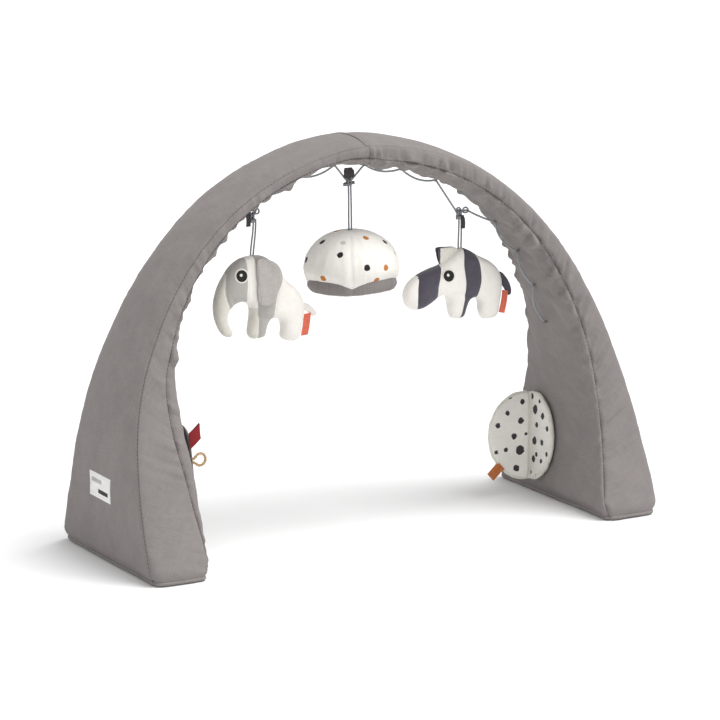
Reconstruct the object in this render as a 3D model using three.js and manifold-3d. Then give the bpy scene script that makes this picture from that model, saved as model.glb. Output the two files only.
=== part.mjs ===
// Activity play gym: a padded fabric arch that stands on two broad feet, with three soft toys
// hanging from a cord that is laced along the arch's inner face.
// Units are millimetres. X runs across the arch, Y from front (-) to back (+), Z is up.
// The origin is on the floor, midway between the feet.
import * as THREE from 'three';
import { mergeVertices } from 'three/addons/utils/BufferGeometryUtils.js';
import Module from 'manifold-3d';

const wasm = await Module();
wasm.setup();

// ---------- driving dimensions ----------
const WIDTH = 800;              // across the feet, outer seam to outer seam
const HEIGHT = 567;             // floor to the outer seam at the crown
const CROWN_REACH = 30;         // how far the crown stays level before it falls away
const SHOULDER_HEIGHT = 556;    // height that pulls the shoulders out to full width
const RIM_Z = 6;                // height of the seam round each foot
const FOOT_THICKNESS = 94;      // outer seam to inner seam at the rim
const CROWN_THICKNESS = 17;     // outer seam to inner seam at the crown
const THICKNESS_POWER = 2.08;   // how quickly the leg thins towards the crown
const FOOT_DEPTH = 343;         // front to back at the rim
const CROWN_DEPTH = 135;        // front to back at the crown
const DEPTH_POWER = 2.46;       // how quickly the leg narrows towards the crown
const OUTER_CROWN = 8.7;        // the padding's rise on the outer face
const INNER_BULGE_FOOT = 9;     // the padding's rise on the inner face of the legs
const INNER_BULGE_CROWN = 15;   // and at the crown
const PATCH_SWELL = { extra: 20, middle: 150, reach: 145 };  // more filling behind the left leg's patch
const COVER = 2;                // thickness of the quilted cover cloth
const GAP = 0.4;                // clearance between touching pieces
const STATIONS = 15;            // cross-sections along each half of the arch
const ACROSS = [-1, -0.82, -0.5, 0, 0.5, 0.82, 1];  // places across a section, as shares of half its depth

const FOOT_PAD_HEIGHT = 2.2;    // anti-slip pads under the feet
const FOOT_PAD_SIZE = 24;
const BASE_Z = FOOT_PAD_HEIGHT + 0.3;
const BASE_THICKNESS = RIM_Z + 0.6 - BASE_Z;  // quilted base panel of the cover
const WALL_Z = BASE_Z + BASE_THICKNESS + 0.4;

const LACE_RADIUS = 1.5;        // elastic cord laced along the inner face
const LACE_PITCH = 60;          // distance between tacks
const LACE_MIDDLE = 48;         // the arc over the middle toy is a little shorter
const LACE_ARCS = 7;            // arcs on each side of the middle one
const LACE_DROP = 7;            // how far an unloaded arc hangs off the cloth
const LACE_CLEAR = 3.7;         // tacked cord's middle below the cloth

const STRAND_RADIUS = 1.25;     // each toy hangs on a doubled cord
const STRAND_SPREAD = 3.4;      // between the middles of the two strands
const HITCH_RADIUS = 5;         // the loop that the doubled cord makes round the lacing
const HITCH_WIRE = 1.2;
const KNOT_RADIUS = 4.6;        // end knot inside each toy
const KNOT_DEPTH = 15;          // its middle below the toy's top
const CAPSULE_RADIUS = 12;      // sound capsule inside each toy
const TOY_SIDES = { thick: 38, soft: 5 };

const FLAP_RADIUS = 66;         // round peek-a-boo pad on the right foot
const FLAP_THICKNESS = 7;
const BACKING_THICKNESS = 5;
const MIRROR_RADIUS = 29;
const FLAP_HINGE_OFF = 10.4;    // crease line's distance off the wall

const COLOURS = {
  cover: 0x8f8987,
  foam: 0xe9e2cf,
  rubber: 0x1b1b1d,
  label: 0xefeeec,
  cord: 0x7f8286,
  tab: 0x2b282b,
  grey: 0xb0aba6,
  cream: 0xeae6df,
  charcoal: 0x474350,
  coral: 0xe8735c,
  red: 0x8e2024,
  beige: 0xc9a983,
  leather: 0xb9682f,
  plastic: 0xf3f2ee,
  mirror: 0xd5dde2,
};

const gym = new THREE.Group();

// ---------- general helpers ----------

/** Adds a named mesh with its own material to a group. */
function addPiece(parent, name, geometry, colour, roughness = 0.9, metalness = 0) {
  const material = new THREE.MeshStandardMaterial({ color: colour, roughness, metalness });
  const mesh = new THREE.Mesh(geometry, material);
  mesh.name = name;
  parent.add(mesh);
  return mesh;
}

/** Keeps only positions and merges equal vertices, which the boolean library needs. */
function bare(geometry) {
  const copy = geometry.clone();
  for (const name of Object.keys(copy.attributes)) {
    if (name !== 'position') copy.deleteAttribute(name);
  }
  return mergeVertices(copy, 1e-4);
}

function toSolid(geometry) {
  const merged = bare(geometry);
  const vertProperties = new Float32Array(merged.attributes.position.array);
  const triVerts = new Uint32Array(merged.index.array);
  return new wasm.Manifold(new wasm.Mesh({ numProp: 3, vertProperties, triVerts }));
}

function toGeometry(solid) {
  const mesh = solid.getMesh();
  const geometry = new THREE.BufferGeometry();
  geometry.setAttribute('position', new THREE.BufferAttribute(new Float32Array(mesh.vertProperties), 3));
  geometry.setIndex(new THREE.BufferAttribute(new Uint32Array(mesh.triVerts), 1));
  return geometry;
}

/** Turns every face outwards, whichever way a mirrored loft ran. */
function faceOutwards(positions, faces) {
  const [a, b, c] = [new THREE.Vector3(), new THREE.Vector3(), new THREE.Vector3()];
  let volume = 0;
  for (const [i, j, k] of faces) {
    a.copy(positions[i]);
    b.copy(positions[j]);
    c.copy(positions[k]);
    volume += a.dot(b.cross(c));
  }
  return volume > 0 ? faces : faces.map(([i, j, k]) => [i, k, j]);
}

/** Skins a row of rings, each with the same number of points, and closes both ends. */
function loft(rings, outline) {
  const count = outline.length;
  const positions = rings.flat();
  const faces = [];
  for (let r = 0; r < rings.length - 1; r += 1) {
    for (let i = 0; i < count; i += 1) {
      const j = (i + 1) % count;
      const [a, b] = [r * count + i, r * count + j];
      const [c, d] = [a + count, b + count];
      const shorter = positions[a].distanceTo(positions[d]) < positions[b].distanceTo(positions[c]);
      if (shorter) faces.push([a, b, d], [a, d, c]);
      else faces.push([a, b, c], [b, d, c]);
    }
  }
  const last = (rings.length - 1) * count;
  const caps = THREE.ShapeUtils.triangulateShape(outline.map(([u, v]) => new THREE.Vector2(u, v)), []);
  const turned = THREE.ShapeUtils.area(outline.map(([u, v]) => new THREE.Vector2(u, v))) > 0;
  for (const [i, j, k] of caps) {
    faces.push(turned ? [i, k, j] : [i, j, k]);
    faces.push(turned ? [last + i, last + j, last + k] : [last + i, last + k, last + j]);
  }
  const geometry = new THREE.BufferGeometry();
  geometry.setFromPoints(positions);
  geometry.setIndex(faceOutwards(positions, faces).flat());
  return geometry;
}

/** A solid tube along a curve, closed at both ends. */
function tube(curve, radius, steps, sides = 8) {
  const section = new THREE.Shape();
  for (let i = 0; i < sides; i += 1) {
    const angle = (i / sides) * Math.PI * 2;
    const point = [Math.cos(angle) * radius, Math.sin(angle) * radius];
    if (i === 0) section.moveTo(...point);
    else section.lineTo(...point);
  }
  section.closePath();
  return new THREE.ExtrudeGeometry(section, { steps, extrudePath: curve, curveSegments: 1 });
}

/** A soft slab: a closed outline in X and Z, with rounded edges, centred on Y = 0. */
function pillow(outline, thick, soft, rounds = 2) {
  const corners = outline.map(([x, z]) => new THREE.Vector3(x, z, 0));
  const spline = new THREE.CatmullRomCurve3(corners, true, 'centripetal');
  const points = spline.getPoints(outline.length).slice(0, -1);
  return slab(points.map((p) => [p.x, p.y]), thick, soft, rounds);
}

/** The same slab from an outline with straight sides. */
function slab(outline, thick, soft, rounds = 1) {
  const shape = new THREE.Shape(outline.map(([x, z]) => new THREE.Vector2(x, z)));
  const rise = thick * 0.3;
  const geometry = new THREE.ExtrudeGeometry(shape, {
    depth: thick - 2 * rise,
    bevelEnabled: soft > 0,
    bevelThickness: rise,
    bevelSize: soft,
    bevelOffset: -soft,
    bevelSegments: rounds,
    curveSegments: 8,
  });
  geometry.translate(0, 0, -(thick - 2 * rise) / 2);
  geometry.rotateX(Math.PI / 2);
  return geometry;
}

/** Half of space on one side of an upright plane that leans by slope millimetres of X per millimetre of Z. */
function upright(x, z, slope, side) {
  const reach = 400;
  const box = new THREE.BoxGeometry(reach, reach, reach);
  box.translate((side * reach) / 2, 0, 0);
  box.rotateY(Math.atan(slope));
  box.translate(x, 0, z);
  return toSolid(box);
}

// ---------- the arch's shape ----------

const outerProfile = new THREE.CubicBezierCurve(
  new THREE.Vector2(0, HEIGHT),
  new THREE.Vector2(CROWN_REACH, HEIGHT),
  new THREE.Vector2(WIDTH / 2, SHOULDER_HEIGHT),
  new THREE.Vector2(WIDTH / 2, RIM_Z),
);

/** Everything about the cross-section at one place along a half arch, from 0 at the crown to 1 at the rim. */
function station(along, side = 1) {
  const point = outerProfile.getPoint(along);
  const tangent = outerProfile.getTangent(along);
  const h = (point.y - RIM_Z) / (HEIGHT - RIM_Z);
  const swell = Math.max(0, 1 - (Math.abs(point.y - PATCH_SWELL.middle) / PATCH_SWELL.reach) ** 2) ** 2;
  const extra = side < 0 ? PATCH_SWELL.extra * swell : 0;
  const fade = 1 - (1 - h) ** 8;
  return {
    point,
    inward: new THREE.Vector2(tangent.y, -tangent.x),
    thickness: CROWN_THICKNESS + (FOOT_THICKNESS - CROWN_THICKNESS) * (1 - h) ** THICKNESS_POWER + extra,
    depth: CROWN_DEPTH + (FOOT_DEPTH - CROWN_DEPTH) * (1 - h) ** DEPTH_POWER,
    crown: OUTER_CROWN * Math.min(1, h / 0.48),
    bulge: (INNER_BULGE_FOOT + (INNER_BULGE_CROWN - INNER_BULGE_FOOT) * h) * fade,
  };
}

/** A point of the cross-section: u is measured inwards from the outer seam, y from front to back. */
function place(side, s, u, y) {
  const x = s.point.x + s.inward.x * u + GAP / 2;
  return new THREE.Vector3(side * x, y, s.point.y + s.inward.y * u);
}

/** Where along the half arch the outer profile stands at a height. */
function alongAt(height) {
  let [low, high] = [0, 1];
  for (let i = 0; i < 40; i += 1) {
    const middle = (low + high) / 2;
    if (outerProfile.getPoint(middle).y > height) low = middle;
    else high = middle;
  }
  return low;
}

const outerLine = (s, y) => -s.crown * (1 - Math.abs((2 * y) / s.depth) ** 2.5);
const innerLine = (s, y) => s.thickness + s.bulge * (1 - Math.abs((2 * y) / s.depth) ** 3);

/** Points across the section at a constant distance under a curved face, trimmed at both edges. */
function across(s, line, under, margin) {
  const half = s.depth / 2;
  const points = ACROSS.map((share) => [line(s, share * half) + under, share * half]);
  const trim = (edge, next) => {
    const share = margin / Math.abs(next[1] - edge[1]);
    return [edge[0] + (next[0] - edge[0]) * share, edge[1] + (next[1] - edge[1]) * share];
  };
  const last = points.length - 1;
  const ends = [trim(points[0], points[1]), trim(points[last], points[last - 1])];
  return [ends[0], ...points.slice(1, last), ends[1]];
}

const sections = {
  outer: (s) => [...across(s, outerLine, 0, 0), ...across(s, outerLine, COVER, 0).reverse()],
  inner: (s) => [...across(s, innerLine, 0, 0), ...across(s, innerLine, -COVER, 0).reverse()],
  side: (s) => {
    const [near, far] = [COVER + GAP, s.thickness - COVER - GAP];
    const edge = s.depth / 2;
    return [[near, -edge], [far, -edge], [far, COVER - edge], [near, COVER - edge]];
  },
  foam: (s) => {
    const under = COVER + GAP;
    return [...across(s, outerLine, under, under), ...across(s, innerLine, -under, under).reverse()];
  },
};

/** One piece of half the arch, running from the crown down to the base. */
function archPiece(side, section, mirrorDepth = false) {
  const end = alongAt(WALL_Z);
  const rings = [];
  let outline = null;
  for (let i = 0; i < STATIONS; i += 1) {
    const s = station((end * i) / (STATIONS - 1), side);
    outline = section(s);
    if (mirrorDepth) outline = outline.map(([u, y]) => [u, -y]);
    const ring = outline.map(([u, y]) => place(side, s, u, y));
    if (i === STATIONS - 1) ring.forEach((p) => p.setZ(WALL_Z));
    rings.push(ring);
  }
  return loft(rings, outline);
}

/** The footprint of one foot, with softly rounded corners. */
function footprint(side) {
  const s = station(1);
  const [near, far] = [WIDTH / 2 - s.thickness + GAP / 2, WIDTH / 2 + GAP / 2];
  const half = s.depth / 2;
  const corner = 9;
  const points = [];
  const centres = [[far - corner, half - corner], [near + corner, half - corner],
    [near + corner, corner - half], [far - corner, corner - half]];
  centres.forEach(([x, y], quarter) => {
    for (let i = 0; i <= 3; i += 1) {
      const angle = ((quarter + i / 3) * Math.PI) / 2;
      points.push([side * (x + corner * Math.cos(angle)), y + corner * Math.sin(angle)]);
    }
  });
  return points;
}

/** Outline of a bar with round ends, along X. */
function roundedBar(length, width, x, y) {
  const points = [];
  for (const end of [1, -1]) {
    for (let i = 0; i <= 6; i += 1) {
      const angle = (i / 6 - 0.5) * Math.PI;
      const reach = (length - width) / 2 + (width / 2) * Math.cos(angle);
      points.push([x + end * reach, y + end * (width / 2) * Math.sin(angle)]);
    }
  }
  return points;
}

/** A level plate from an outline in X and Y. */
function plate(outline, bottom, thick) {
  const ordered = THREE.ShapeUtils.isClockWise(outline.map(([x, y]) => new THREE.Vector2(x, y)))
    ? [...outline].reverse() : outline;
  const shape = new THREE.Shape(ordered.map(([x, y]) => new THREE.Vector2(x, y)));
  const geometry = new THREE.ExtrudeGeometry(shape, { depth: thick, bevelEnabled: false, steps: 1 });
  geometry.translate(0, 0, bottom);
  return geometry;
}

/** Cover panels, foam, base and anti-slip pads of one leg. */
function buildLeg(side, name) {
  addPiece(gym, `${name}_foam_core`, archPiece(side, sections.foam), COLOURS.foam);
  addPiece(gym, `${name}_outer_panel`, archPiece(side, sections.outer), COLOURS.cover);
  addPiece(gym, `${name}_inner_panel`, archPiece(side, sections.inner), COLOURS.cover);
  addPiece(gym, `${name}_front_panel`, archPiece(side, sections.side), COLOURS.cover);
  addPiece(gym, `${name}_back_panel`, archPiece(side, sections.side, true), COLOURS.cover);
  addPiece(gym, `${name}_base_panel`, plate(footprint(side), BASE_Z, BASE_THICKNESS), COLOURS.cover);
  const inset = 5;
  const x = WIDTH / 2 - FOOT_THICKNESS / 2;
  const y = FOOT_DEPTH / 2 - inset - FOOT_PAD_SIZE / 2;
  for (const [end, padY] of [['front', -y], ['back', y]]) {
    const bar = roundedBar(FOOT_THICKNESS - 2 * inset, FOOT_PAD_SIZE, side * x, padY);
    addPiece(gym, `${name}_${end}_anti_slip_pad`, plate(bar, 0, FOOT_PAD_HEIGHT), COLOURS.rubber, 0.7);
  }
}

/** Bound seam across the crown, where the two half covers meet. */
function buildCrownSeam() {
  const s = station(0);
  const [width, thick] = [9, 1.2];
  const top = across(s, outerLine, -GAP - 0.2, 0.5);
  const outline = [...top, ...top.map(([u, y]) => [u - thick, y]).reverse()];
  const ring = (x) => outline.map(([u, y]) => new THREE.Vector3(x, y, HEIGHT - u));
  const rings = [ring(-width / 2), ring(width / 2)];
  addPiece(gym, 'crown_seam_binding', loft(rings, outline), COLOURS.cover);
}

/** Woven label, without any lettering, on the outside of the left foot. */
function buildLabel() {
  const [width, height, thick] = [77, 35, 0.8];
  const [middleY, middleZ] = [8, 110];
  const s = station(alongAt(middleZ));
  const label = new THREE.BoxGeometry(thick, width, height);
  const mesh = addPiece(gym, 'woven_label', label, COLOURS.label, 0.8);
  mesh.position.copy(place(-1, s, outerLine(s, middleY) - GAP - thick / 2 - 0.3, middleY));
  mesh.rotation.y = Math.atan2(-s.inward.y, -s.inward.x);
}

// ---------- the lacing ----------

/** Middle line of one half's inner face: places, distances from the crown and directions off the cloth. */
function innerCentreLine(side) {
  const end = alongAt(WALL_Z);
  const line = [];
  for (let i = 0; i < STATIONS; i += 1) {
    const s = station((end * i) / (STATIONS - 1), side);
    const p = place(side, s, innerLine(s, 0), 0);
    const run = i > 0 ? line[i - 1].run + p.distanceTo(line[i - 1].p) : 0;
    line.push({ p, run, off: new THREE.Vector3(side * s.inward.x, 0, s.inward.y) });
  }
  return line;
}

const centreLines = { left: innerCentreLine(-1), right: innerCentreLine(1) };

/** A place on the middle of the inner face, pushed off the cloth by a distance; negative runs go left. */
function onInnerFace(run, offCloth) {
  const line = run < 0 ? centreLines.left : centreLines.right;
  const distance = Math.abs(run);
  const next = Math.max(1, line.findIndex((c) => c.run >= distance));
  const [a, b] = [line[next - 1], line[next]];
  const share = (distance - a.run) / (b.run - a.run);
  const off = a.off.clone().lerp(b.off, share);
  return a.p.clone().lerp(b.p, share).addScaledVector(off, offCloth);
}

// Each toy's hanging point on the lacing, and the height of the toy's top.
const HANGERS = {
  elephant: { arc: -3, point: new THREE.Vector3(-156, 0, 474), top: 417 },
  dome: { arc: 0, point: new THREE.Vector3(-2, 0, 509), top: 439 },
  tapir: { arc: 3, point: new THREE.Vector3(173, 0, 446), top: 394 },
};

/** Points of one arc of the lacing, from its first tack up to, but not with, its last. */
function laceArc(index, start, end) {
  const hanger = Object.values(HANGERS).find((h) => h.arc === index);
  const [first, last] = [onInnerFace(start, LACE_CLEAR), onInnerFace(end, LACE_CLEAR)];
  if (hanger) {
    const halfHitch = new THREE.Vector3(4, 0, 0);
    const left = hanger.point.clone().sub(halfHitch);
    const right = hanger.point.clone().add(halfHitch);
    return [first, first.clone().lerp(left, 0.5), left, right, right.clone().lerp(last, 0.5)];
  }
  return [0, 0.2, 0.4, 0.6, 0.8].map((f) => {
    const chord = first.clone().lerp(last, f);
    const off = onInnerFace(start + (end - start) * f, 1).sub(onInnerFace(start + (end - start) * f, 0));
    return chord.addScaledVector(off, LACE_DROP * 4 * f * (1 - f));
  });
}

/** A path with straight runs between its points, so that tacks and hitches stay where they are put. */
class LacedPath extends THREE.Curve {
  constructor(points) {
    super();
    this.points = points;
  }

  getPoint(t, target = new THREE.Vector3()) {
    const scaled = Math.min(Math.max(t, 0), 1) * (this.points.length - 1);
    const i = Math.min(Math.floor(scaled), this.points.length - 2);
    return target.lerpVectors(this.points[i], this.points[i + 1], scaled - i);
  }

  getPointAt(t, target) {
    return this.getPoint(t, target);
  }

  getTangentAt(t, target) {
    return this.getTangent(t, target);
  }
}

function buildLacing() {
  const points = [];
  const half = LACE_MIDDLE / 2;
  for (let k = -LACE_ARCS; k <= LACE_ARCS; k += 1) {
    const start = k === 0 ? -half : Math.sign(k) * half + (k > 0 ? k - 1 : k) * LACE_PITCH;
    const end = k === 0 ? half : start + LACE_PITCH;
    points.push(...laceArc(k, start, end));
    if (k === LACE_ARCS) points.push(onInnerFace(end, LACE_CLEAR));
  }
  const route = new LacedPath(points);
  addPiece(gym, 'attachment_cord', tube(route, LACE_RADIUS, points.length - 1), COLOURS.cord, 0.7);
}

// ---------- the toys' hangers ----------

/** The doubled cord's loop round the lacing with its dark toggle tab, the two strands, and the end knot. */
function buildHanger(name, tabOutline, tabY) {
  const { point, top } = HANGERS[name];
  const hitch = new THREE.TorusGeometry(HITCH_RADIUS, HITCH_WIRE, 8, 16);
  hitch.rotateY(Math.PI / 2);
  const tabThick = 3;
  const tab = slab(tabOutline, tabThick, 0.9);
  tab.translate(0, tabY, 0);
  const toggle = toSolid(hitch).add(toSolid(tab));
  const mesh = addPiece(gym, `${name}_toggle`, toGeometry(toggle), COLOURS.tab, 0.8);
  mesh.position.copy(point);

  const bendTop = -(HITCH_RADIUS + HITCH_WIRE + GAP + STRAND_RADIUS);
  const drop = top - point.z - KNOT_DEPTH + KNOT_RADIUS + GAP;
  const r = STRAND_SPREAD / 2;
  const path = [new THREE.Vector3(0, -r, drop), new THREE.Vector3(0, -r, drop * 0.55)];
  for (let i = 0; i <= 6; i += 1) {
    const angle = Math.PI - (i / 6) * Math.PI;
    path.push(new THREE.Vector3(0, r * Math.cos(angle), bendTop - r + r * Math.sin(angle)));
  }
  path.push(new THREE.Vector3(0, r, drop * 0.55), new THREE.Vector3(0, r, drop));
  const strands = tube(new LacedPath(path), STRAND_RADIUS, path.length - 1);
  addPiece(gym, `${name}_cord`, strands, COLOURS.cord, 0.7).position.copy(point);

  const knot = new THREE.SphereGeometry(KNOT_RADIUS, 10, 6);
  knot.rotateX(Math.PI / 2);
  addPiece(gym, `${name}_cord_knot`, knot, COLOURS.cord, 0.7).position.set(point.x, 0, top - KNOT_DEPTH);
}

/** Room inside a toy for its end knot, the strands above it and its sound capsule. */
function innerRoom(capsuleX, capsuleZ) {
  const room = 1.2;
  const pocket = new THREE.SphereGeometry(KNOT_RADIUS + room, 10, 6);
  pocket.rotateX(Math.PI / 2);
  pocket.translate(0, 0, -KNOT_DEPTH);
  const channel = new THREE.CylinderGeometry(4.4, 4.4, KNOT_DEPTH + 20, 12);
  channel.rotateX(Math.PI / 2);
  channel.translate(0, 0, -KNOT_DEPTH + (KNOT_DEPTH + 20) / 2);
  const capsule = new THREE.SphereGeometry(CAPSULE_RADIUS + GAP, 12, 8);
  capsule.translate(capsuleX, 0, capsuleZ);
  return toSolid(pocket).add(toSolid(channel)).add(toSolid(capsule));
}

/** Cuts a soft body into its sewn panels along leaning upright planes, leaving seam gaps. */
function sewnPanels(body, cuts) {
  return Array.from({ length: cuts.length + 1 }, (_, i) => {
    let piece = body;
    if (i > 0) piece = piece.intersect(upright(cuts[i - 1].x + GAP / 2, cuts[i - 1].z, cuts[i - 1].slope, 1));
    if (i < cuts.length) piece = piece.intersect(upright(cuts[i].x - GAP / 2, cuts[i].z, cuts[i].slope, -1));
    return piece;
  });
}

/** A toy's group, whose origin is the middle of the toy's top, where its cord goes in. */
function toyGroup(name) {
  const group = new THREE.Group();
  group.position.set(HANGERS[name].point.x, 0, HANGERS[name].top);
  gym.add(group);
  return group;
}

/** The same flat piece on the near (-Y) and far (+Y) side of a toy. */
function pairOfEars(group, name, outline, thick, soft, bodyHalf, rounds = 1) {
  for (const [end, side] of [['near', -1], ['far', 1]]) {
    const ear = pillow(outline, thick, soft, rounds);
    ear.translate(0, side * (bodyHalf + GAP + thick / 2), 0);
    addPiece(group, `${name}_${end}_ear`, ear, COLOURS.grey);
  }
}

function soundCapsule(group, name, x, z) {
  const capsule = new THREE.SphereGeometry(CAPSULE_RADIUS, 12, 8);
  capsule.translate(x, 0, z);
  addPiece(group, name, capsule, COLOURS.plastic, 0.5);
}

// ---------- elephant ----------

function buildElephant() {
  buildHanger('elephant', [[-4, -27], [4, -27], [4, 0], [-4, 0]], -5.6);
  const group = toyGroup('elephant');
  // From the top round the head, trunk, legs and rump.
  const outline = [
    [0, 0], [-16, -2], [-32, -11], [-46, -27], [-57, -48], [-62, -70], [-59, -92], [-49, -110],
    [-39, -113], [-34, -108], [-36, -96], [-38, -82], [-31, -70], [-19, -65], [-9, -69],
    [-6, -82], [-9, -98], [-11, -112], [-6, -119], [8, -120], [16, -117], [19, -104],
    [23, -96], [32, -94], [40, -97], [42, -109], [40, -121], [46, -127], [65, -128], [73, -122],
    [76, -104], [79, -86], [75, -68], [64, -52], [48, -38], [35, -17], [18, -3],
  ];
  const capsuleX = 37;
  const capsuleZ = -60;
  const stuffed = toSolid(pillow(outline, TOY_SIDES.thick, TOY_SIDES.soft));
  const body = stuffed.subtract(innerRoom(capsuleX, capsuleZ));
  const cuts = [
    { x: -39, z: -50, slope: 0.1 },
    { x: -6, z: -30, slope: 0.1 },
    { x: 8.6, z: -60, slope: 0 },
    { x: 37.5, z: -60, slope: 0 },
  ];
  const panels = sewnPanels(body, cuts);
  const names = ['trunk', 'head', 'neck_stripe', 'shoulder', 'rump'];
  const colours = [COLOURS.cream, COLOURS.grey, COLOURS.cream, COLOURS.grey, COLOURS.cream];
  names.forEach((part, i) => addPiece(group, `elephant_${part}`, toGeometry(panels[i]), colours[i]));
  const ear = [
    [3, -4], [19, -5], [33, -12], [40, -25], [39, -38],
    [32, -52], [27, -66], [15, -71], [3, -68], [1, -36],
  ];
  pairOfEars(group, 'elephant', ear, 6, 2, TOY_SIDES.thick / 2);
  const tailOutline = [[79.9, -76], [87, -80], [95, -88], [99, -96], [93, -98], [86, -92], [79.9, -86]];
  const tail = pillow(tailOutline, 4, 1.2, 1);
  addPiece(group, 'elephant_tail', tail, COLOURS.cream);
  const tag = slab([[79.4, -93], [89, -93], [85, -123], [77, -124]], 1.6, 0.3);
  tag.translate(0, -3.4, 0);
  addPiece(group, 'elephant_ribbon_tag', tag, COLOURS.coral);
  soundCapsule(group, 'elephant_rattle', capsuleX, capsuleZ);
}

// ---------- dotted dome ----------

const DOME = { radius: 69, rim: 64, shoulder: -54, base: -80, band: -91, bottom: -97 };

/** A solid of revolution from radius and height pairs that start and end on the axis. */
function turned(profile, segments = 20) {
  const geometry = new THREE.LatheGeometry(profile.map(([r, z]) => new THREE.Vector2(r, z)), segments);
  geometry.rotateX(Math.PI / 2);
  return geometry;
}

function buildDome() {
  buildHanger('dome', [[-2, 4.5], [2, 4.5], [6.5, 13], [6.5, 21], [-6.5, 21], [-6.5, 13]], 0);
  const group = toyGroup('dome');
  const capsuleZ = -74;
  const room = innerRoom(0, capsuleZ);
  const cap = [[0, DOME.base], [DOME.rim, DOME.base]];
  for (let i = 0; i <= 7; i += 1) {
    const angle = ((i - 1.4) / 5.6) * (Math.PI / 2);
    const height = angle < 0 ? DOME.shoulder + Math.sin(angle) * 40 : DOME.shoulder * (1 - Math.sin(angle));
    cap.push([i === 7 ? 0 : DOME.radius * Math.cos(angle), height]);
  }
  addPiece(group, 'dome_gored_top', toGeometry(toSolid(turned(cap)).subtract(room)), COLOURS.cream);
  const bandTop = DOME.base - GAP;
  const band = [
    [0, DOME.band], [DOME.rim - 5, DOME.band], [DOME.rim - 1, DOME.band + 5],
    [DOME.rim, bandTop], [0, bandTop],
  ];
  addPiece(group, 'dome_rim_band', toGeometry(toSolid(turned(band)).subtract(room)), COLOURS.cover);
  const discTop = DOME.band - GAP;
  const disc = [[0, DOME.bottom], [DOME.rim * 0.6, DOME.bottom + 1.5], [DOME.rim - 6, discTop], [0, discTop]];
  addPiece(group, 'dome_underside', turned(disc), COLOURS.cream);
  soundCapsule(group, 'dome_bell_capsule', 0, capsuleZ);
}

// ---------- striped animal ----------

function buildTapir() {
  buildHanger('tapir', [[-4, -24], [4, -24], [4, 0], [-4, 0]], -5.6);
  const group = toyGroup('tapir');
  // From the neck round the head, snout, legs and rump.
  const outline = [
    [0, 0], [-11, -7], [-22, -16], [-34, -25], [-52, -31], [-70, -38], [-84, -47], [-91, -60],
    [-90, -76], [-81, -87], [-66, -88], [-52, -81], [-36, -69], [-26, -68], [-20, -76],
    [-19, -90], [-15, -101], [-2, -103], [7, -100], [11, -86], [15, -76], [24, -75], [30, -80],
    [29, -94], [34, -103], [50, -104], [59, -98], [64, -80], [66, -58], [60, -38], [46, -24], [28, -14],
    [12, -4],
  ];
  const capsuleX = 9;
  const capsuleZ = -50;
  const stuffed = toSolid(pillow(outline, TOY_SIDES.thick, TOY_SIDES.soft));
  const body = stuffed.subtract(innerRoom(capsuleX, capsuleZ));
  const cuts = [
    { x: -70, z: -60, slope: 0 },
    { x: -34, z: -45, slope: 0 },
    { x: 7, z: -50, slope: -0.06 },
    { x: 30, z: -40, slope: 0.04 },
  ];
  const panels = sewnPanels(body, cuts);
  const names = ['snout', 'mask', 'head', 'saddle', 'rump'];
  const colours = [COLOURS.cream, COLOURS.charcoal, COLOURS.cream, COLOURS.charcoal, COLOURS.cream];
  names.forEach((part, i) => addPiece(group, `tapir_${part}`, toGeometry(panels[i]), colours[i]));
  const ear = [[-38, 2], [-22, 2.4], [-8, 1], [-8.5, -3.6], [-20, -12.4], [-32, -21.4], [-35.5, -12]];
  pairOfEars(group, 'tapir', ear, 3.6, 0.9, 1);
  const tailOutline = [[66.8, -46], [71, -50], [78, -60], [82, -72], [77, -76], [72, -64], [67.2, -54]];
  const tail = pillow(tailOutline, 5, 1.2, 1);
  addPiece(group, 'tapir_tail', tail, COLOURS.charcoal);
  const tag = slab([[66.6, -65], [70.4, -68], [74, -80], [68, -99], [62.4, -97]], 1.6, 0.3);
  tag.translate(0, -3.8, 0);
  addPiece(group, 'tapir_ribbon_tag', tag, COLOURS.coral);
  soundCapsule(group, 'tapir_squeaker', capsuleX, capsuleZ);
}

// ---------- peek-a-boo pad on the right foot ----------

/** Half a disc in local X and Z, on one side of the crease, as straight-sided points. */
function halfDisc(radius, inner, side) {
  const points = [[side * inner, -radius * 0.985], [side * inner, radius * 0.985]];
  const arcs = 11;
  for (let i = 1; i < arcs; i += 1) {
    const angle = Math.PI / 2 - (i / arcs) * Math.PI;
    points.push([side * Math.max(inner, radius * Math.cos(angle)), radius * Math.sin(angle)]);
  }
  return side > 0 ? points.reverse() : points;
}

const PAD = { z: 88, y: 52, wallX: 315.4, lean: 0.107, tilt: 0.12 };

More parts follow.
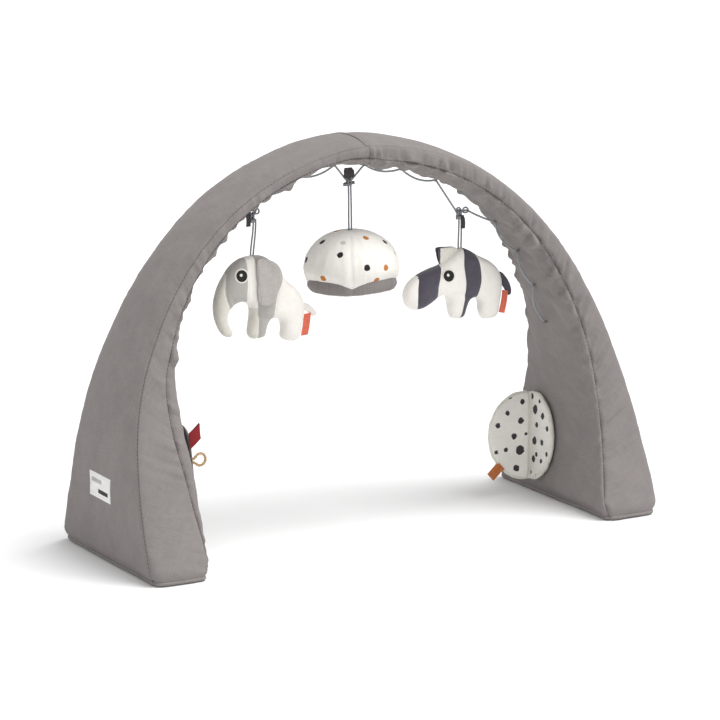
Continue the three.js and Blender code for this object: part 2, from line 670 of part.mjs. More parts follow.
function buildPeekPad() {
  // The pad's own frame: local Z along the crease, local X to the back of the foot, local Y off the wall.
  const group = new THREE.Group();
  const up = new THREE.Vector3(PAD.lean, 0, 1).normalize();
  const off = new THREE.Vector3(-1, 0, PAD.lean).normalize();
  const along = new THREE.Vector3(0, 1, 0);
  const crease = up.clone().multiplyScalar(Math.cos(PAD.tilt)).addScaledVector(along, Math.sin(PAD.tilt));
  const aside = new THREE.Vector3().crossVectors(off, crease);
  group.matrixAutoUpdate = false;
  group.matrix.makeBasis(aside, off, crease).setPosition(PAD.wallX, PAD.y, PAD.z);
  gym.add(group);

  const backing = slab(halfDisc(FLAP_RADIUS, 1, -1), BACKING_THICKNESS, 1.6);
  backing.translate(0, BACKING_THICKNESS / 2, 0);
  addPiece(group, 'peek_pad_backing', backing, COLOURS.cream);

  const mirror = new THREE.CylinderGeometry(MIRROR_RADIUS, MIRROR_RADIUS, 1.4, 20);
  mirror.translate(MIRROR_RADIUS + 5, 1.4 / 2, 0);
  addPiece(group, 'peek_mirror', mirror, COLOURS.mirror, 0.08, 1);

  // The flap stands straight off the wall at rest, so its outline turns from local X to local Y.
  const flap = slab(halfDisc(FLAP_RADIUS, 1.6, 1), FLAP_THICKNESS, 2);
  flap.rotateZ(Math.PI / 2);
  flap.translate(0, FLAP_HINGE_OFF, 0);
  addPiece(group, 'peek_flap', flap, COLOURS.cream);

  const reach = FLAP_RADIUS + 0.8;
  const [tabLength, tabWidth, tabThick] = [22, 13, 2.4];
  const tab = new THREE.BoxGeometry(tabLength, tabThick, tabWidth);
  tab.translate(reach + tabLength / 2, 0, 0);
  tab.rotateY(Math.PI / 4);
  tab.rotateZ(Math.PI / 2);
  tab.translate(0, FLAP_HINGE_OFF, 0);
  addPiece(group, 'peek_pull_tab', tab, COLOURS.leather, 0.6);
}

// ---------- taggy patch on the left foot ----------

const PATCH = { z: 146, y: -34, width: 112, height: 110, thick: 4, wallX: -302.4, lean: -0.06 };

function buildTaggyPatch() {
  const group = new THREE.Group();
  group.position.set(PATCH.wallX, PATCH.y, PATCH.z);
  group.rotation.y = Math.atan(PATCH.lean);
  gym.add(group);
  const corner = 16;
  const [w, h] = [PATCH.width / 2 - corner, PATCH.height / 2 - corner];
  const outline = [];
  [[w, h], [-w, h], [-w, -h], [w, -h]].forEach(([y, z], quarter) => {
    for (let i = 0; i <= 4; i += 1) {
      const angle = ((quarter + i / 4) * Math.PI) / 2;
      outline.push([y + corner * Math.cos(angle), z + corner * Math.sin(angle)]);
    }
  });
  const patch = slab(outline, PATCH.thick, 1.2);
  patch.rotateZ(Math.PI / 2);
  patch.translate(PATCH.thick / 2, 0, 0);
  addPiece(group, 'taggy_patch', patch, COLOURS.cover);

  const front = -PATCH.width / 2 - GAP;
  const tag = slab([[0, -11], [0, 11], [25, 20], [25, -2]], 1.8, 0.4);
  tag.translate(1, front - 1.2, 36);
  addPiece(group, 'folded_ribbon_tag', tag, COLOURS.red);

  const loopRadius = 8.5;
  const points = [];
  for (let i = 0; i <= 14; i += 1) {
    const angle = Math.PI * 0.86 - (i / 14) * Math.PI * 1.72;
    points.push(new THREE.Vector3(14 + loopRadius * Math.cos(angle), 0, loopRadius * Math.sin(angle)));
  }
  points.unshift(new THREE.Vector3(1.6, 0, 2.4));
  points.push(new THREE.Vector3(1.6, 0, -2.4));
  const loop = tube(new LacedPath(points), 1, points.length - 1);
  loop.translate(0, front - 1.4, 8);
  addPiece(group, 'cord_loop', loop, COLOURS.beige, 0.8);
}

// ---------- assembly ----------

buildLeg(-1, 'left');
buildLeg(1, 'right');
buildCrownSeam();
buildLabel();
buildLacing();
buildElephant();
buildDome();
buildTapir();
buildPeekPad();
buildTaggyPatch();

export default gym;
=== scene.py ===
import math

import bpy
import numpy as np
from mathutils import Matrix, Vector, geometry, noise


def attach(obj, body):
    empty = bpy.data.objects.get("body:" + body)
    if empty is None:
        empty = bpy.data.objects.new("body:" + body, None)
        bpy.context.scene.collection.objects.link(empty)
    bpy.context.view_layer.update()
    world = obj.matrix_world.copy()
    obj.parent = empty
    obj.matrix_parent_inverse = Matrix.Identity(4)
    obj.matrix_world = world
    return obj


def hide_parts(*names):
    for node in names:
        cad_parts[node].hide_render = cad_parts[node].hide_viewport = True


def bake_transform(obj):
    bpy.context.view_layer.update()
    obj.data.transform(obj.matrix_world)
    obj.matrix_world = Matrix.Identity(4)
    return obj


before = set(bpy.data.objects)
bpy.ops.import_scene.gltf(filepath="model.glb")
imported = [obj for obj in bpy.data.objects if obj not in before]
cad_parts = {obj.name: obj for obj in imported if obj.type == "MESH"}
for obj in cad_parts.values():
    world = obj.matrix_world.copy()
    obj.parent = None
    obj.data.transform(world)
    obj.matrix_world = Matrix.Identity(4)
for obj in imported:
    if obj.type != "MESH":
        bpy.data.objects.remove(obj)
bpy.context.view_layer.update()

MM = 0.001  # shapes are worked out in millimetres and stored in metres
scene = bpy.context.scene

# ---------- camera, light and floor ----------

CAMERA = {"azimuth": -25.567, "elevation": 11.5185, "roll": -1.744, "distance": 5.909}
CAMERA_TARGET = Vector((0.007, 0.0, 0.2465))
LENS = 204.9


def make_camera():
    az, el = math.radians(CAMERA["azimuth"]), math.radians(CAMERA["elevation"])
    back = Vector((math.sin(az) * math.cos(el), -math.cos(az) * math.cos(el), math.sin(el)))
    data = bpy.data.cameras.new("camera")
    data.lens = LENS
    data.sensor_width = 36.0
    data.clip_start, data.clip_end = 0.1, 200.0
    camera = bpy.data.objects.new("camera", data)
    scene.collection.objects.link(camera)
    turn = (-back).to_track_quat("-Z", "Y").to_matrix().to_4x4()
    roll = Matrix.Rotation(math.radians(CAMERA["roll"]), 4, "Z")
    camera.matrix_world = Matrix.Translation(CAMERA_TARGET + back * CAMERA["distance"]) @ turn @ roll
    scene.camera = camera


def make_sun(name, azimuth, elevation, strength, softness):
    light = bpy.data.lights.new(name, "SUN")
    light.energy = strength
    light.angle = math.radians(softness)
    obj = bpy.data.objects.new(name, light)
    scene.collection.objects.link(obj)
    az, el = math.radians(azimuth), math.radians(elevation)
    towards = Vector((math.sin(az) * math.cos(el), -math.cos(az) * math.cos(el), math.sin(el)))
    obj.rotation_mode = "QUATERNION"
    obj.rotation_quaternion = (-towards).to_track_quat("-Z", "Y")


def make_stage():
    world = bpy.data.worlds.new("studio")
    world.use_nodes = True
    sky = world.node_tree.nodes["Background"]
    sky.inputs["Color"].default_value = (1.0, 1.0, 1.0, 1.0)
    sky.inputs["Strength"].default_value = 0.72
    scene.world = world
    make_sun("key_light", 50, 61, 2.5, 40)
    reach = 60.0
    mesh = bpy.data.meshes.new("studio_floor")
    corners = [(-reach, -reach, 0), (reach, -reach, 0), (reach, reach, 0), (-reach, reach, 0)]
    mesh.from_pydata(corners, [], [(0, 1, 2, 3)])
    floor = bpy.data.objects.new("studio_floor", mesh)
    scene.collection.objects.link(floor)
    material = bpy.data.materials.new("studio_floor")
    material.use_nodes = True
    shader = material.node_tree.nodes["Principled BSDF"]
    shader.inputs["Base Color"].default_value = (0.9, 0.9, 0.9, 1.0)
    shader.inputs["Roughness"].default_value = 1.0
    shader.inputs["Specular IOR Level"].default_value = 0.0
    mesh.materials.append(material)
    scene.view_settings.view_transform = "Standard"


make_camera()
make_stage()

# ---------- materials ----------


def linear(value):
    """A 0xrrggbb colour as linear RGBA."""
    parts = [((value >> shift) & 255) / 255 for shift in (16, 8, 0)]
    return [c / 12.92 if c <= 0.04045 else ((c + 0.055) / 1.055) ** 2.4 for c in parts] + [1.0]


def shaded(colour, factor):
    return [min(1.0, c * factor) for c in colour[:3]] + [1.0]


class Shader:
    """A Principled material and the few node chains that the cloths share."""

    def __init__(self, name, roughness=0.9):
        self.material = bpy.data.materials.new(name)
        self.material.use_nodes = True
        self.tree = self.material.node_tree
        self.surface = self.tree.nodes["Principled BSDF"]
        self.surface.inputs["Roughness"].default_value = roughness
        self.height = None

    def add(self, kind, inputs=(), **settings):
        node = self.tree.nodes.new(kind)
        for key, value in settings.items():
            setattr(node, key, value)
        for key, value in dict(inputs).items():
            if isinstance(value, bpy.types.NodeSocket):
                self.tree.links.new(value, node.inputs[key])
            else:
                node.inputs[key].default_value = value
        return node

    def maths(self, operation, *values):
        return self.add("ShaderNodeMath", dict(enumerate(values)), operation=operation).outputs[0]

    def coords(self, attribute=None):
        if attribute:
            return self.add("ShaderNodeAttribute", attribute_name=attribute).outputs["Vector"]
        return self.add("ShaderNodeTexCoord").outputs["Object"]

    def scaled(self, vector, scale):
        inputs = {"Vector": vector, "Scale": scale}
        return self.add("ShaderNodeMapping", inputs).outputs[0]

    def noise(self, vector, scale, detail=2.0, roughness=0.5):
        inputs = {"Vector": vector, "Scale": scale, "Detail": detail, "Roughness": roughness}
        return self.add("ShaderNodeTexNoise", inputs).outputs[0]

    def threads(self, vector, period, direction):
        """Parallel threads with a spacing in metres."""
        inputs = {"Vector": vector, "Scale": math.pi / 10 / period, "Distortion": 0.4, "Detail": 1.0}
        node = self.add("ShaderNodeTexWave", inputs, wave_type="BANDS", bands_direction=direction)
        return node.outputs["Fac"]

    def remap(self, value, low, high, to_low, to_high):
        inputs = {0: value, 1: low, 2: high, 3: to_low, 4: to_high}
        return self.add("ShaderNodeMapRange", inputs).outputs[0]

    def mix(self, factor, a, b, blend="MIX"):
        node = self.add("ShaderNodeMix", data_type="RGBA", blend_type=blend)
        for index, value in ((0, factor), (6, a), (7, b)):
            if isinstance(value, bpy.types.NodeSocket):
                self.tree.links.new(value, node.inputs[index])
            else:
                node.inputs[index].default_value = value
        return node.outputs[2]

    def colour(self, value):
        if isinstance(value, bpy.types.NodeSocket):
            self.tree.links.new(value, self.surface.inputs["Base Color"])
        else:
            self.surface.inputs["Base Color"].default_value = value

    def bump(self, height, distance, strength=1.0):
        inputs = {"Height": height, "Distance": distance, "Strength": strength}
        if self.height is not None:
            inputs["Normal"] = self.height
        self.height = self.add("ShaderNodeBump", inputs).outputs[0]
        self.tree.links.new(self.height, self.surface.inputs["Normal"])

    def sheen(self, weight, tint, roughness=0.4):
        self.surface.inputs["Sheen Weight"].default_value = weight
        self.surface.inputs["Sheen Tint"].default_value = tint
        self.surface.inputs["Sheen Roughness"].default_value = roughness


def woven(name, value, period=0.0009, contrast=0.22, blotch=0.07, slub=0.1, sheen=0.15, relief=0.00012,
          mapped=True, roughness=0.92):
    """Plain-woven cloth: crossing threads, uneven yarns and faint patches of wear."""
    s = Shader(name, roughness)
    base = linear(value)
    where = s.coords("weave" if mapped else None)
    warp = s.threads(where, period, "X")
    weft = s.threads(where, period, "Y" if mapped else "Z")
    weave = s.maths("MULTIPLY", warp, weft)
    across = s.noise(s.scaled(where, (1 / 0.0013, 1 / 0.024, 1 / 0.024)), 1.0, 2.0)
    along = s.noise(s.scaled(where, (1 / 0.024, 1 / 0.0013, 1 / 0.0013)), 1.0, 2.0)
    yarns = s.maths("MULTIPLY", s.maths("ADD", across, along), 0.5)
    patches = s.noise(s.coords(), 22.0, 3.0, 0.6)
    tone = s.mix(s.remap(weave, 0.0, 1.0, 0.0, 1.0), shaded(base, 1 - contrast), shaded(base, 1 + contrast * 0.6))
    tone = s.mix(s.remap(yarns, 0.35, 0.65, 0.0, 1.0), shaded(base, 1 - slub), shaded(base, 1 + slub)) if contrast == 0 else \
        s.mix(0.5, tone, s.mix(s.remap(yarns, 0.35, 0.65, 0.0, 1.0), shaded(base, 1 - 2 * slub), shaded(base, 1 + 2 * slub)))
    tone = s.mix(s.remap(patches, 0.35, 0.65, 0.0, 1.0), s.mix(1.0, tone, shaded([1, 1, 1], 1 - blotch), "MULTIPLY"), tone)
    s.colour(tone)
    s.bump(s.maths("ADD", weave, s.maths("MULTIPLY", yarns, 1.4)), relief)
    s.sheen(sheen, shaded(base, 2.0))
    return s


def plush(name, value, blotch=0.06, pile=0.0016, relief=0.0004, sheen=0.5):
    """Short soft pile, such as velour or fleece."""
    s = Shader(name, 1.0)
    base = linear(value)
    where = s.coords()
    hairs = s.noise(where, 1 / pile, 4.0, 0.7)
    clumps = s.noise(where, 120.0, 3.0, 0.6)
    tone = s.mix(s.remap(hairs, 0.3, 0.7, 0.0, 1.0), shaded(base, 1 - blotch), shaded(base, 1 + blotch * 0.5))
    tone = s.mix(s.remap(clumps, 0.3, 0.7, 0.0, 1.0), s.mix(1.0, tone, shaded([1, 1, 1], 1 - blotch), "MULTIPLY"), tone)
    s.colour(tone)
    s.bump(s.maths("ADD", hairs, clumps), relief)
    s.sheen(sheen, [1.0, 1.0, 1.0, 1.0], 0.6)
    return s


def thread_look(name, value, period=0.0011, contrast=0.3):
    """Twisted or braided thread: fine slanting strands."""
    s = Shader(name, 0.75)
    base = linear(value)
    where = s.coords("weave")
    strands = s.threads(where, period, "DIAGONAL")
    fluff = s.noise(s.coords(), 1400.0, 2.0)
    s.colour(s.mix(strands, shaded(base, 1 - contrast), shaded(base, 1 + contrast)))
    s.bump(s.maths("ADD", strands, fluff), 0.0002)
    s.sheen(0.2, shaded(base, 2.0))
    return s


def moulded(name, value, roughness=0.4, grain=0.0004):
    """Moulded rubber or plastic with a fine texture."""
    s = Shader(name, roughness)
    base = linear(value)
    where = s.coords()
    speckle = s.noise(where, 1 / grain, 2.0)
    smear = s.noise(where, 30.0, 3.0)
    s.colour(s.mix(s.remap(smear, 0.3, 0.7, 0.0, 1.0), shaded(base, 0.88), shaded(base, 1.1)))
    rough = s.remap(smear, 0.3, 0.7, roughness * 0.85, min(1.0, roughness * 1.2))
    s.tree.links.new(rough, s.surface.inputs["Roughness"])
    s.bump(speckle, 0.00008)
    return s


def tanned(name, value):
    """Smooth leather with pores, creases and uneven tone."""
    s = Shader(name, 0.5)
    base = linear(value)
    where = s.coords()
    pores = s.add("ShaderNodeTexVoronoi", {"Vector": where, "Scale": 1500.0}, feature="DISTANCE_TO_EDGE").outputs[0]
    smear = s.noise(where, 90.0, 4.0, 0.6)
    s.colour(s.mix(s.remap(smear, 0.3, 0.7, 0.0, 1.0), shaded(base, 0.72), shaded(base, 1.2)))
    s.bump(s.maths("MINIMUM", pores, 0.12), 0.0006)
    s.bump(smear, 0.0005)
    return s


def silvered(name):
    """Soft plastic mirror foil, slightly wavy."""
    s = Shader(name, 0.06)
    s.surface.inputs["Metallic"].default_value = 1.0
    s.colour([0.82, 0.85, 0.87, 1.0])
    s.bump(s.noise(s.coords(), 45.0, 2.0), 0.0006, 0.5)
    return s


def spots(shader, where, ground, groups, wobble=0.0006):
    """Paints round spots over a ground colour. groups is a list of (colour, [(x, y, z, radius), ...])."""
    drift = shader.add("ShaderNodeTexNoise", {"Vector": where, "Scale": 350.0, "Detail": 1.0}).outputs["Color"]
    offset = shader.add("ShaderNodeVectorMath", {0: drift, 1: (0.5, 0.5, 0.5)}, operation="SUBTRACT").outputs[0]
    offset = shader.add("ShaderNodeVectorMath", {0: offset, 3: wobble * 4}, operation="SCALE").outputs[0]
    moved = shader.add("ShaderNodeVectorMath", {0: where, 1: offset}, operation="ADD").outputs[0]
    for colour, places in groups:
        mask = None
        for x, y, z, radius in places:
            away = shader.add("ShaderNodeVectorMath", {0: moved, 1: (x, y, z)}, operation="DISTANCE").outputs[1]
            inside = shader.remap(away, radius - 0.00025, radius + 0.00025, 1.0, 0.0)
            mask = inside if mask is None else shader.maths("MAXIMUM", mask, inside)
        ground = shader.mix(mask, ground, colour)
    return ground

# ---------- mesh helpers ----------

RNG = np.random.default_rng(7)
LATTICE = RNG.random((256, 256)) * 2 - 1


def ripple(x, y, shift=0):
    """Smooth noise from -1 to 1 with one swing per unit of x or y."""
    x, y = np.asarray(x, float) + 17.3 * shift, np.asarray(y, float) + 9.1 * shift
    i, j = np.floor(x).astype(int), np.floor(y).astype(int)
    fx, fy = x - i, y - j
    fx, fy = fx * fx * (3 - 2 * fx), fy * fy * (3 - 2 * fy)
    corner = lambda a, b: LATTICE[(i + a) % 256, (j + b) % 256]
    low = corner(0, 0) * (1 - fx) + corner(1, 0) * fx
    high = corner(0, 1) * (1 - fx) + corner(1, 1) * fx
    return low * (1 - fy) + high * fy


def rough(x, y, shift=0, octaves=3):
    return sum(ripple(x * 2**k, y * 2**k, shift + k) * 0.5**k for k in range(octaves))


def unit(v):
    v = np.asarray(v, float)
    return v / np.maximum(np.linalg.norm(v, axis=-1, keepdims=True), 1e-9)


def step(x):
    x = np.clip(x, 0, 1)
    return x * x * (3 - 2 * x)


def new_piece(name, points, faces, materials, body, of_face=None, weave=None, sharp=48):
    """A mesh piece from points in millimetres that rides on a CAD body."""
    mesh = bpy.data.meshes.new(name)
    mesh.from_pydata((np.asarray(points, float) * MM).tolist(), [], [tuple(int(i) for i in f) for f in faces])
    for material in materials if isinstance(materials, (list, tuple)) else [materials]:
        mesh.materials.append(material.material)
    if of_face is not None:
        mesh.polygons.foreach_set("material_index", np.asarray(of_face, dtype=np.int32))
    if weave is not None:
        layer = mesh.attributes.new("weave", "FLOAT_VECTOR", "POINT")
        layer.data.foreach_set("vector", (np.asarray(weave, float) * MM).astype(np.float32).ravel())
    mesh.shade_smooth()
    mesh.set_sharp_from_angle(angle=math.radians(sharp))
    mesh.validate()
    mesh.update()
    piece = bpy.data.objects.new(name, mesh)
    scene.collection.objects.link(piece)
    if body:
        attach(piece, body)
    return piece


def grid_faces(rows, columns, start=0, flip=False, close_rows=False, close_columns=False):
    faces = []
    for i in range(rows if close_rows else rows - 1):
        for j in range(columns if close_columns else columns - 1):
            a, b = start + i * columns + j, start + i * columns + (j + 1) % columns
            c, d = start + ((i + 1) % rows) * columns + (j + 1) % columns, start + ((i + 1) % rows) * columns + j
            faces.append((d, c, b, a) if flip else (a, b, c, d))
    return faces


def outwards(points, faces):
    """Turns all faces over if the closed mesh has a negative volume."""
    points = np.asarray(points, float)
    corners = np.array([(f[0], f[k], f[k + 1]) for f in faces for k in range(1, len(f) - 1)])
    a, b, c = (points[corners[:, k]] for k in range(3))
    return faces if (a * np.cross(b, c)).sum() > 0 else [tuple(reversed(f)) for f in faces]


def shell(top, bottom):
    """Points and faces of a closed sheet between two equal grids."""
    rows, columns = top.shape[:2]
    count = rows * columns
    points = np.concatenate([top.reshape(-1, 3), bottom.reshape(-1, 3)])
    faces = grid_faces(rows, columns) + grid_faces(rows, columns, count, flip=True)
    edge = [j for j in range(columns)]
    edge += [i * columns + columns - 1 for i in range(1, rows)]
    edge += [(rows - 1) * columns + j for j in range(columns - 2, -1, -1)]
    edge += [i * columns for i in range(rows - 2, 0, -1)]
    for k, a in enumerate(edge):
        b = edge[(k + 1) % len(edge)]
        faces.append((b, a, a + count, b + count))
    return points, outwards(points, faces)


def frames_along(path):
    """Tangents and two steady cross directions along a path."""
    path = np.asarray(path, float)
    tangents = unit(np.gradient(path, axis=0))
    start = np.array([0.0, 1.0, 0.0]) if abs(tangents[0][1]) < 0.9 else np.array([1.0, 0.0, 0.0])
    sides = []
    side = unit(start - tangents[0] * np.dot(start, tangents[0]))
    for t in tangents:
        side = unit(side - t * np.dot(side, t))
        sides.append(side)
    sides = np.array(sides)
    return tangents, sides, np.cross(tangents, sides)


def tube_mesh(path, radius, around=12, flat=1.0, twist=0.0):
    """Points, faces and weave places of a closed tube. radius may change along the path."""
    path = np.asarray(path, float)
    tangents, sides, ups = frames_along(path)
    radii = np.broadcast_to(np.asarray(radius, float), (len(path),))
    runs = np.concatenate([[0], np.cumsum(np.linalg.norm(np.diff(path, axis=0), axis=1))])
    angles = np.linspace(0, 2 * math.pi, around, endpoint=False)
    points, weave = [], []
    for k, centre in enumerate(path):
        for angle in angles:
            turned = angle + twist * runs[k]
            offset = sides[k] * math.cos(turned) + ups[k] * math.sin(turned) * flat
            points.append(centre + offset * radii[k])
            weave.append((angle / math.pi * radii.max() * math.pi, runs[k], 0))
    faces = grid_faces(len(path), around, close_columns=True)
    first, last = len(points), len(points) + 1
    points += [path[0], path[-1]]
    weave += [(0, 0, 0), (0, runs[-1], 0)]
    end = (len(path) - 1) * around
    for j in range(around):
        faces.append((first, (j + 1) % around, j))
        faces.append((last, end + j, end + (j + 1) % around))
    return points, outwards(points, faces), weave


def resample(path, spacing, closed=False):
    path = np.asarray(path, float)
    if closed:
        path = np.concatenate([path, path[:1]])
    runs = np.concatenate([[0], np.cumsum(np.linalg.norm(np.diff(path, axis=0), axis=1))])
    count = max(2, int(round(runs[-1] / spacing)) + 1)
    at = np.linspace(0, runs[-1], count)
    out = np.stack([np.interp(at, runs, path[:, k]) for k in range(path.shape[1])], axis=1)
    return out[:-1] if closed else out


def curved(points, closed=False, steps=12):
    """A centripetal Catmull-Rom curve through points."""
    p = np.asarray(points, float)
    p = np.concatenate([p[-1:], p, p[:2]]) if closed else np.concatenate([[2 * p[0] - p[1]], p, [2 * p[-1] - p[-2]]])
    out = []
    for a, b, c, d in zip(p, p[1:], p[2:], p[3:]):
        k1 = max(1e-4, np.linalg.norm(b - a) ** 0.5)
        k2 = k1 + max(1e-4, np.linalg.norm(c - b) ** 0.5)
        k3 = k2 + max(1e-4, np.linalg.norm(d - c) ** 0.5)
        for t in np.linspace(k1, k2, steps, endpoint=False):
            ab = (k1 - t) / k1 * a + t / k1 * b
            bc = (k2 - t) / (k2 - k1) * b + (t - k1) / (k2 - k1) * c
            cd = (k3 - t) / (k3 - k2) * c + (t - k2) / (k3 - k2) * d
            abc = (k2 - t) / k2 * ab + t / k2 * bc
            bcd = (k3 - t) / (k3 - k1) * bc + (t - k1) / (k3 - k1) * cd
            out.append((k2 - t) / (k2 - k1) * abc + (t - k1) / (k2 - k1) * bcd)
    if not closed:
        out.append(p[-2])
    return np.array(out)


class Threads:
    """Collects many little stitches into one mesh."""

    def __init__(self):
        self.points, self.faces = [], []

    def stitch(self, a, b, radius=0.45):
        a, b = np.asarray(a, float), np.asarray(b, float)
        line = [a, a + (b - a) * 0.12, (a + b) / 2, b - (b - a) * 0.12, b]
        pts, faces, _ = tube_mesh(line, [radius * 0.35, radius * 0.9, radius, radius * 0.9, radius * 0.35], 6)
        start = len(self.points)
        self.points += list(pts)
        self.faces += [tuple(i + start for i in f) for f in faces]

    def along(self, path, offcloth, length=3.3, gap=1.6, radius=0.45):
        """Stitches on a path of points with an outward direction at each point."""
        path, offcloth = np.asarray(path, float), np.asarray(offcloth, float)
        runs = np.concatenate([[0], np.cumsum(np.linalg.norm(np.diff(path, axis=0), axis=1))])
        at = lambda r: np.array([np.interp(r, runs, (path + offcloth)[:, k]) for k in range(3)])
        r = gap
        while r + length < runs[-1]:
            self.stitch(at(r), at(r + length), radius)
            r += length + gap

    def finish(self, name, material, body):
        return new_piece(name, self.points, self.faces, material, body,
                         weave=np.asarray(self.points)) if self.points else None

# ---------- the looks ----------

COVER = woven("cover_canvas", 0x8b8583, contrast=0.24, slub=0.1, blotch=0.1)
COVER_THREAD = thread_look("cover_thread", 0x575351)
TACK_THREAD = thread_look("tack_thread", 0x85807d)
SEAM_CLOTH = woven("seam_binding_cloth", 0x817c7a, contrast=0.2)
LACE = thread_look("elastic_braid", 0x979a9d, 0.0012, 0.28)
STRAND = thread_look("hanging_braid", 0x85888c, 0.001, 0.32)
KNOT = plush("knotted_braid", 0x85898c, pile=0.0009)
TAB = woven("dark_ribbon", 0x4a4446, 0.0007, contrast=0.35, slub=0.15, mapped=False, relief=0.0002)
GREY = plush("grey_velour", 0xaeaaa5)
GREY_EAR = woven("grey_ear_cloth", 0xbdb8b3, 0.0008, contrast=0.15, mapped=False)
CREAM = plush("cream_velour", 0xf1ede6, blotch=0.04)
# Cream velour painted darker: painted shade for the elephant's trunk and front leg.
PAINTED_SHADE_CREAM = plush("painted_shade_cream_velour", 0xdbd7cc, blotch=0.06)
CREAM_EAR = woven("cream_ear_cloth", 0xe9e5dc, 0.0008, contrast=0.1, mapped=False)
CHARCOAL = plush("charcoal_velour", 0x45414d, sheen=0.35)
CORAL = woven("coral_ribbon", 0xe8745d, 0.0006, contrast=0.16, mapped=False)
RED = woven("red_ribbon", 0x8c2126, 0.0006, contrast=0.2, mapped=False)
BEIGE = thread_look("beige_cord", 0xba9c7a)
BLACK_THREAD = thread_look("black_embroidery", 0x121112)
WHITE_THREAD = thread_look("white_embroidery", 0xe6e3db, contrast=0.12)
LABEL = woven("white_woven_label", 0xf2f1ef, 0.0005, contrast=0.08, slub=0.03, mapped=False)
LEATHER = tanned("tan_leather", 0xb96a31)
RUBBER = moulded("grip_rubber", 0x1b1b1d, 0.75, 0.0006)
CAPSULE = moulded("white_capsule_plastic", 0xf3f2ee, 0.45)
MIRROR = silvered("mirror_foil")

# ---------- the padded arch ----------

WIDTH, HEIGHT, RIM_Z, WALL_Z = 800.0, 567.0, 6.0, 7.0
LACE_RADIUS, LACE_PITCH, LACE_MIDDLE, LACE_ARCS, LACE_DROP, LACE_CLEAR = 1.5, 60.0, 48.0, 7, 7.0, 3.7
PROFILE = np.array([[0.0, HEIGHT], [30.0, HEIGHT], [WIDTH / 2, 556.0], [WIDTH / 2, RIM_Z]])
CLOTH = 2.0


def profile_at(t):
    t = np.asarray(t, float)[:, None]
    a, b, c, d = PROFILE
    point = (1 - t) ** 3 * a + 3 * t * (1 - t) ** 2 * b + 3 * t * t * (1 - t) * c + t**3 * d
    slope = 3 * (1 - t) ** 2 * (b - a) + 6 * t * (1 - t) * (c - b) + 3 * t * t * (d - c)
    return point, unit(slope)


def even_stations(spacing):
    """Places along the half profile, evenly spaced down to just above the floor, and their runs."""
    t = np.linspace(0, 1, 4001)
    point, _ = profile_at(t)
    t = t[point[:, 1] >= WALL_Z - 0.01]
    point = point[: len(t)]
    runs = np.concatenate([[0], np.cumsum(np.linalg.norm(np.diff(point, axis=0), axis=1))])
    count = int(runs[-1] / spacing)
    at = np.linspace(0, runs[-1], count)
    return np.interp(at, runs, t), at


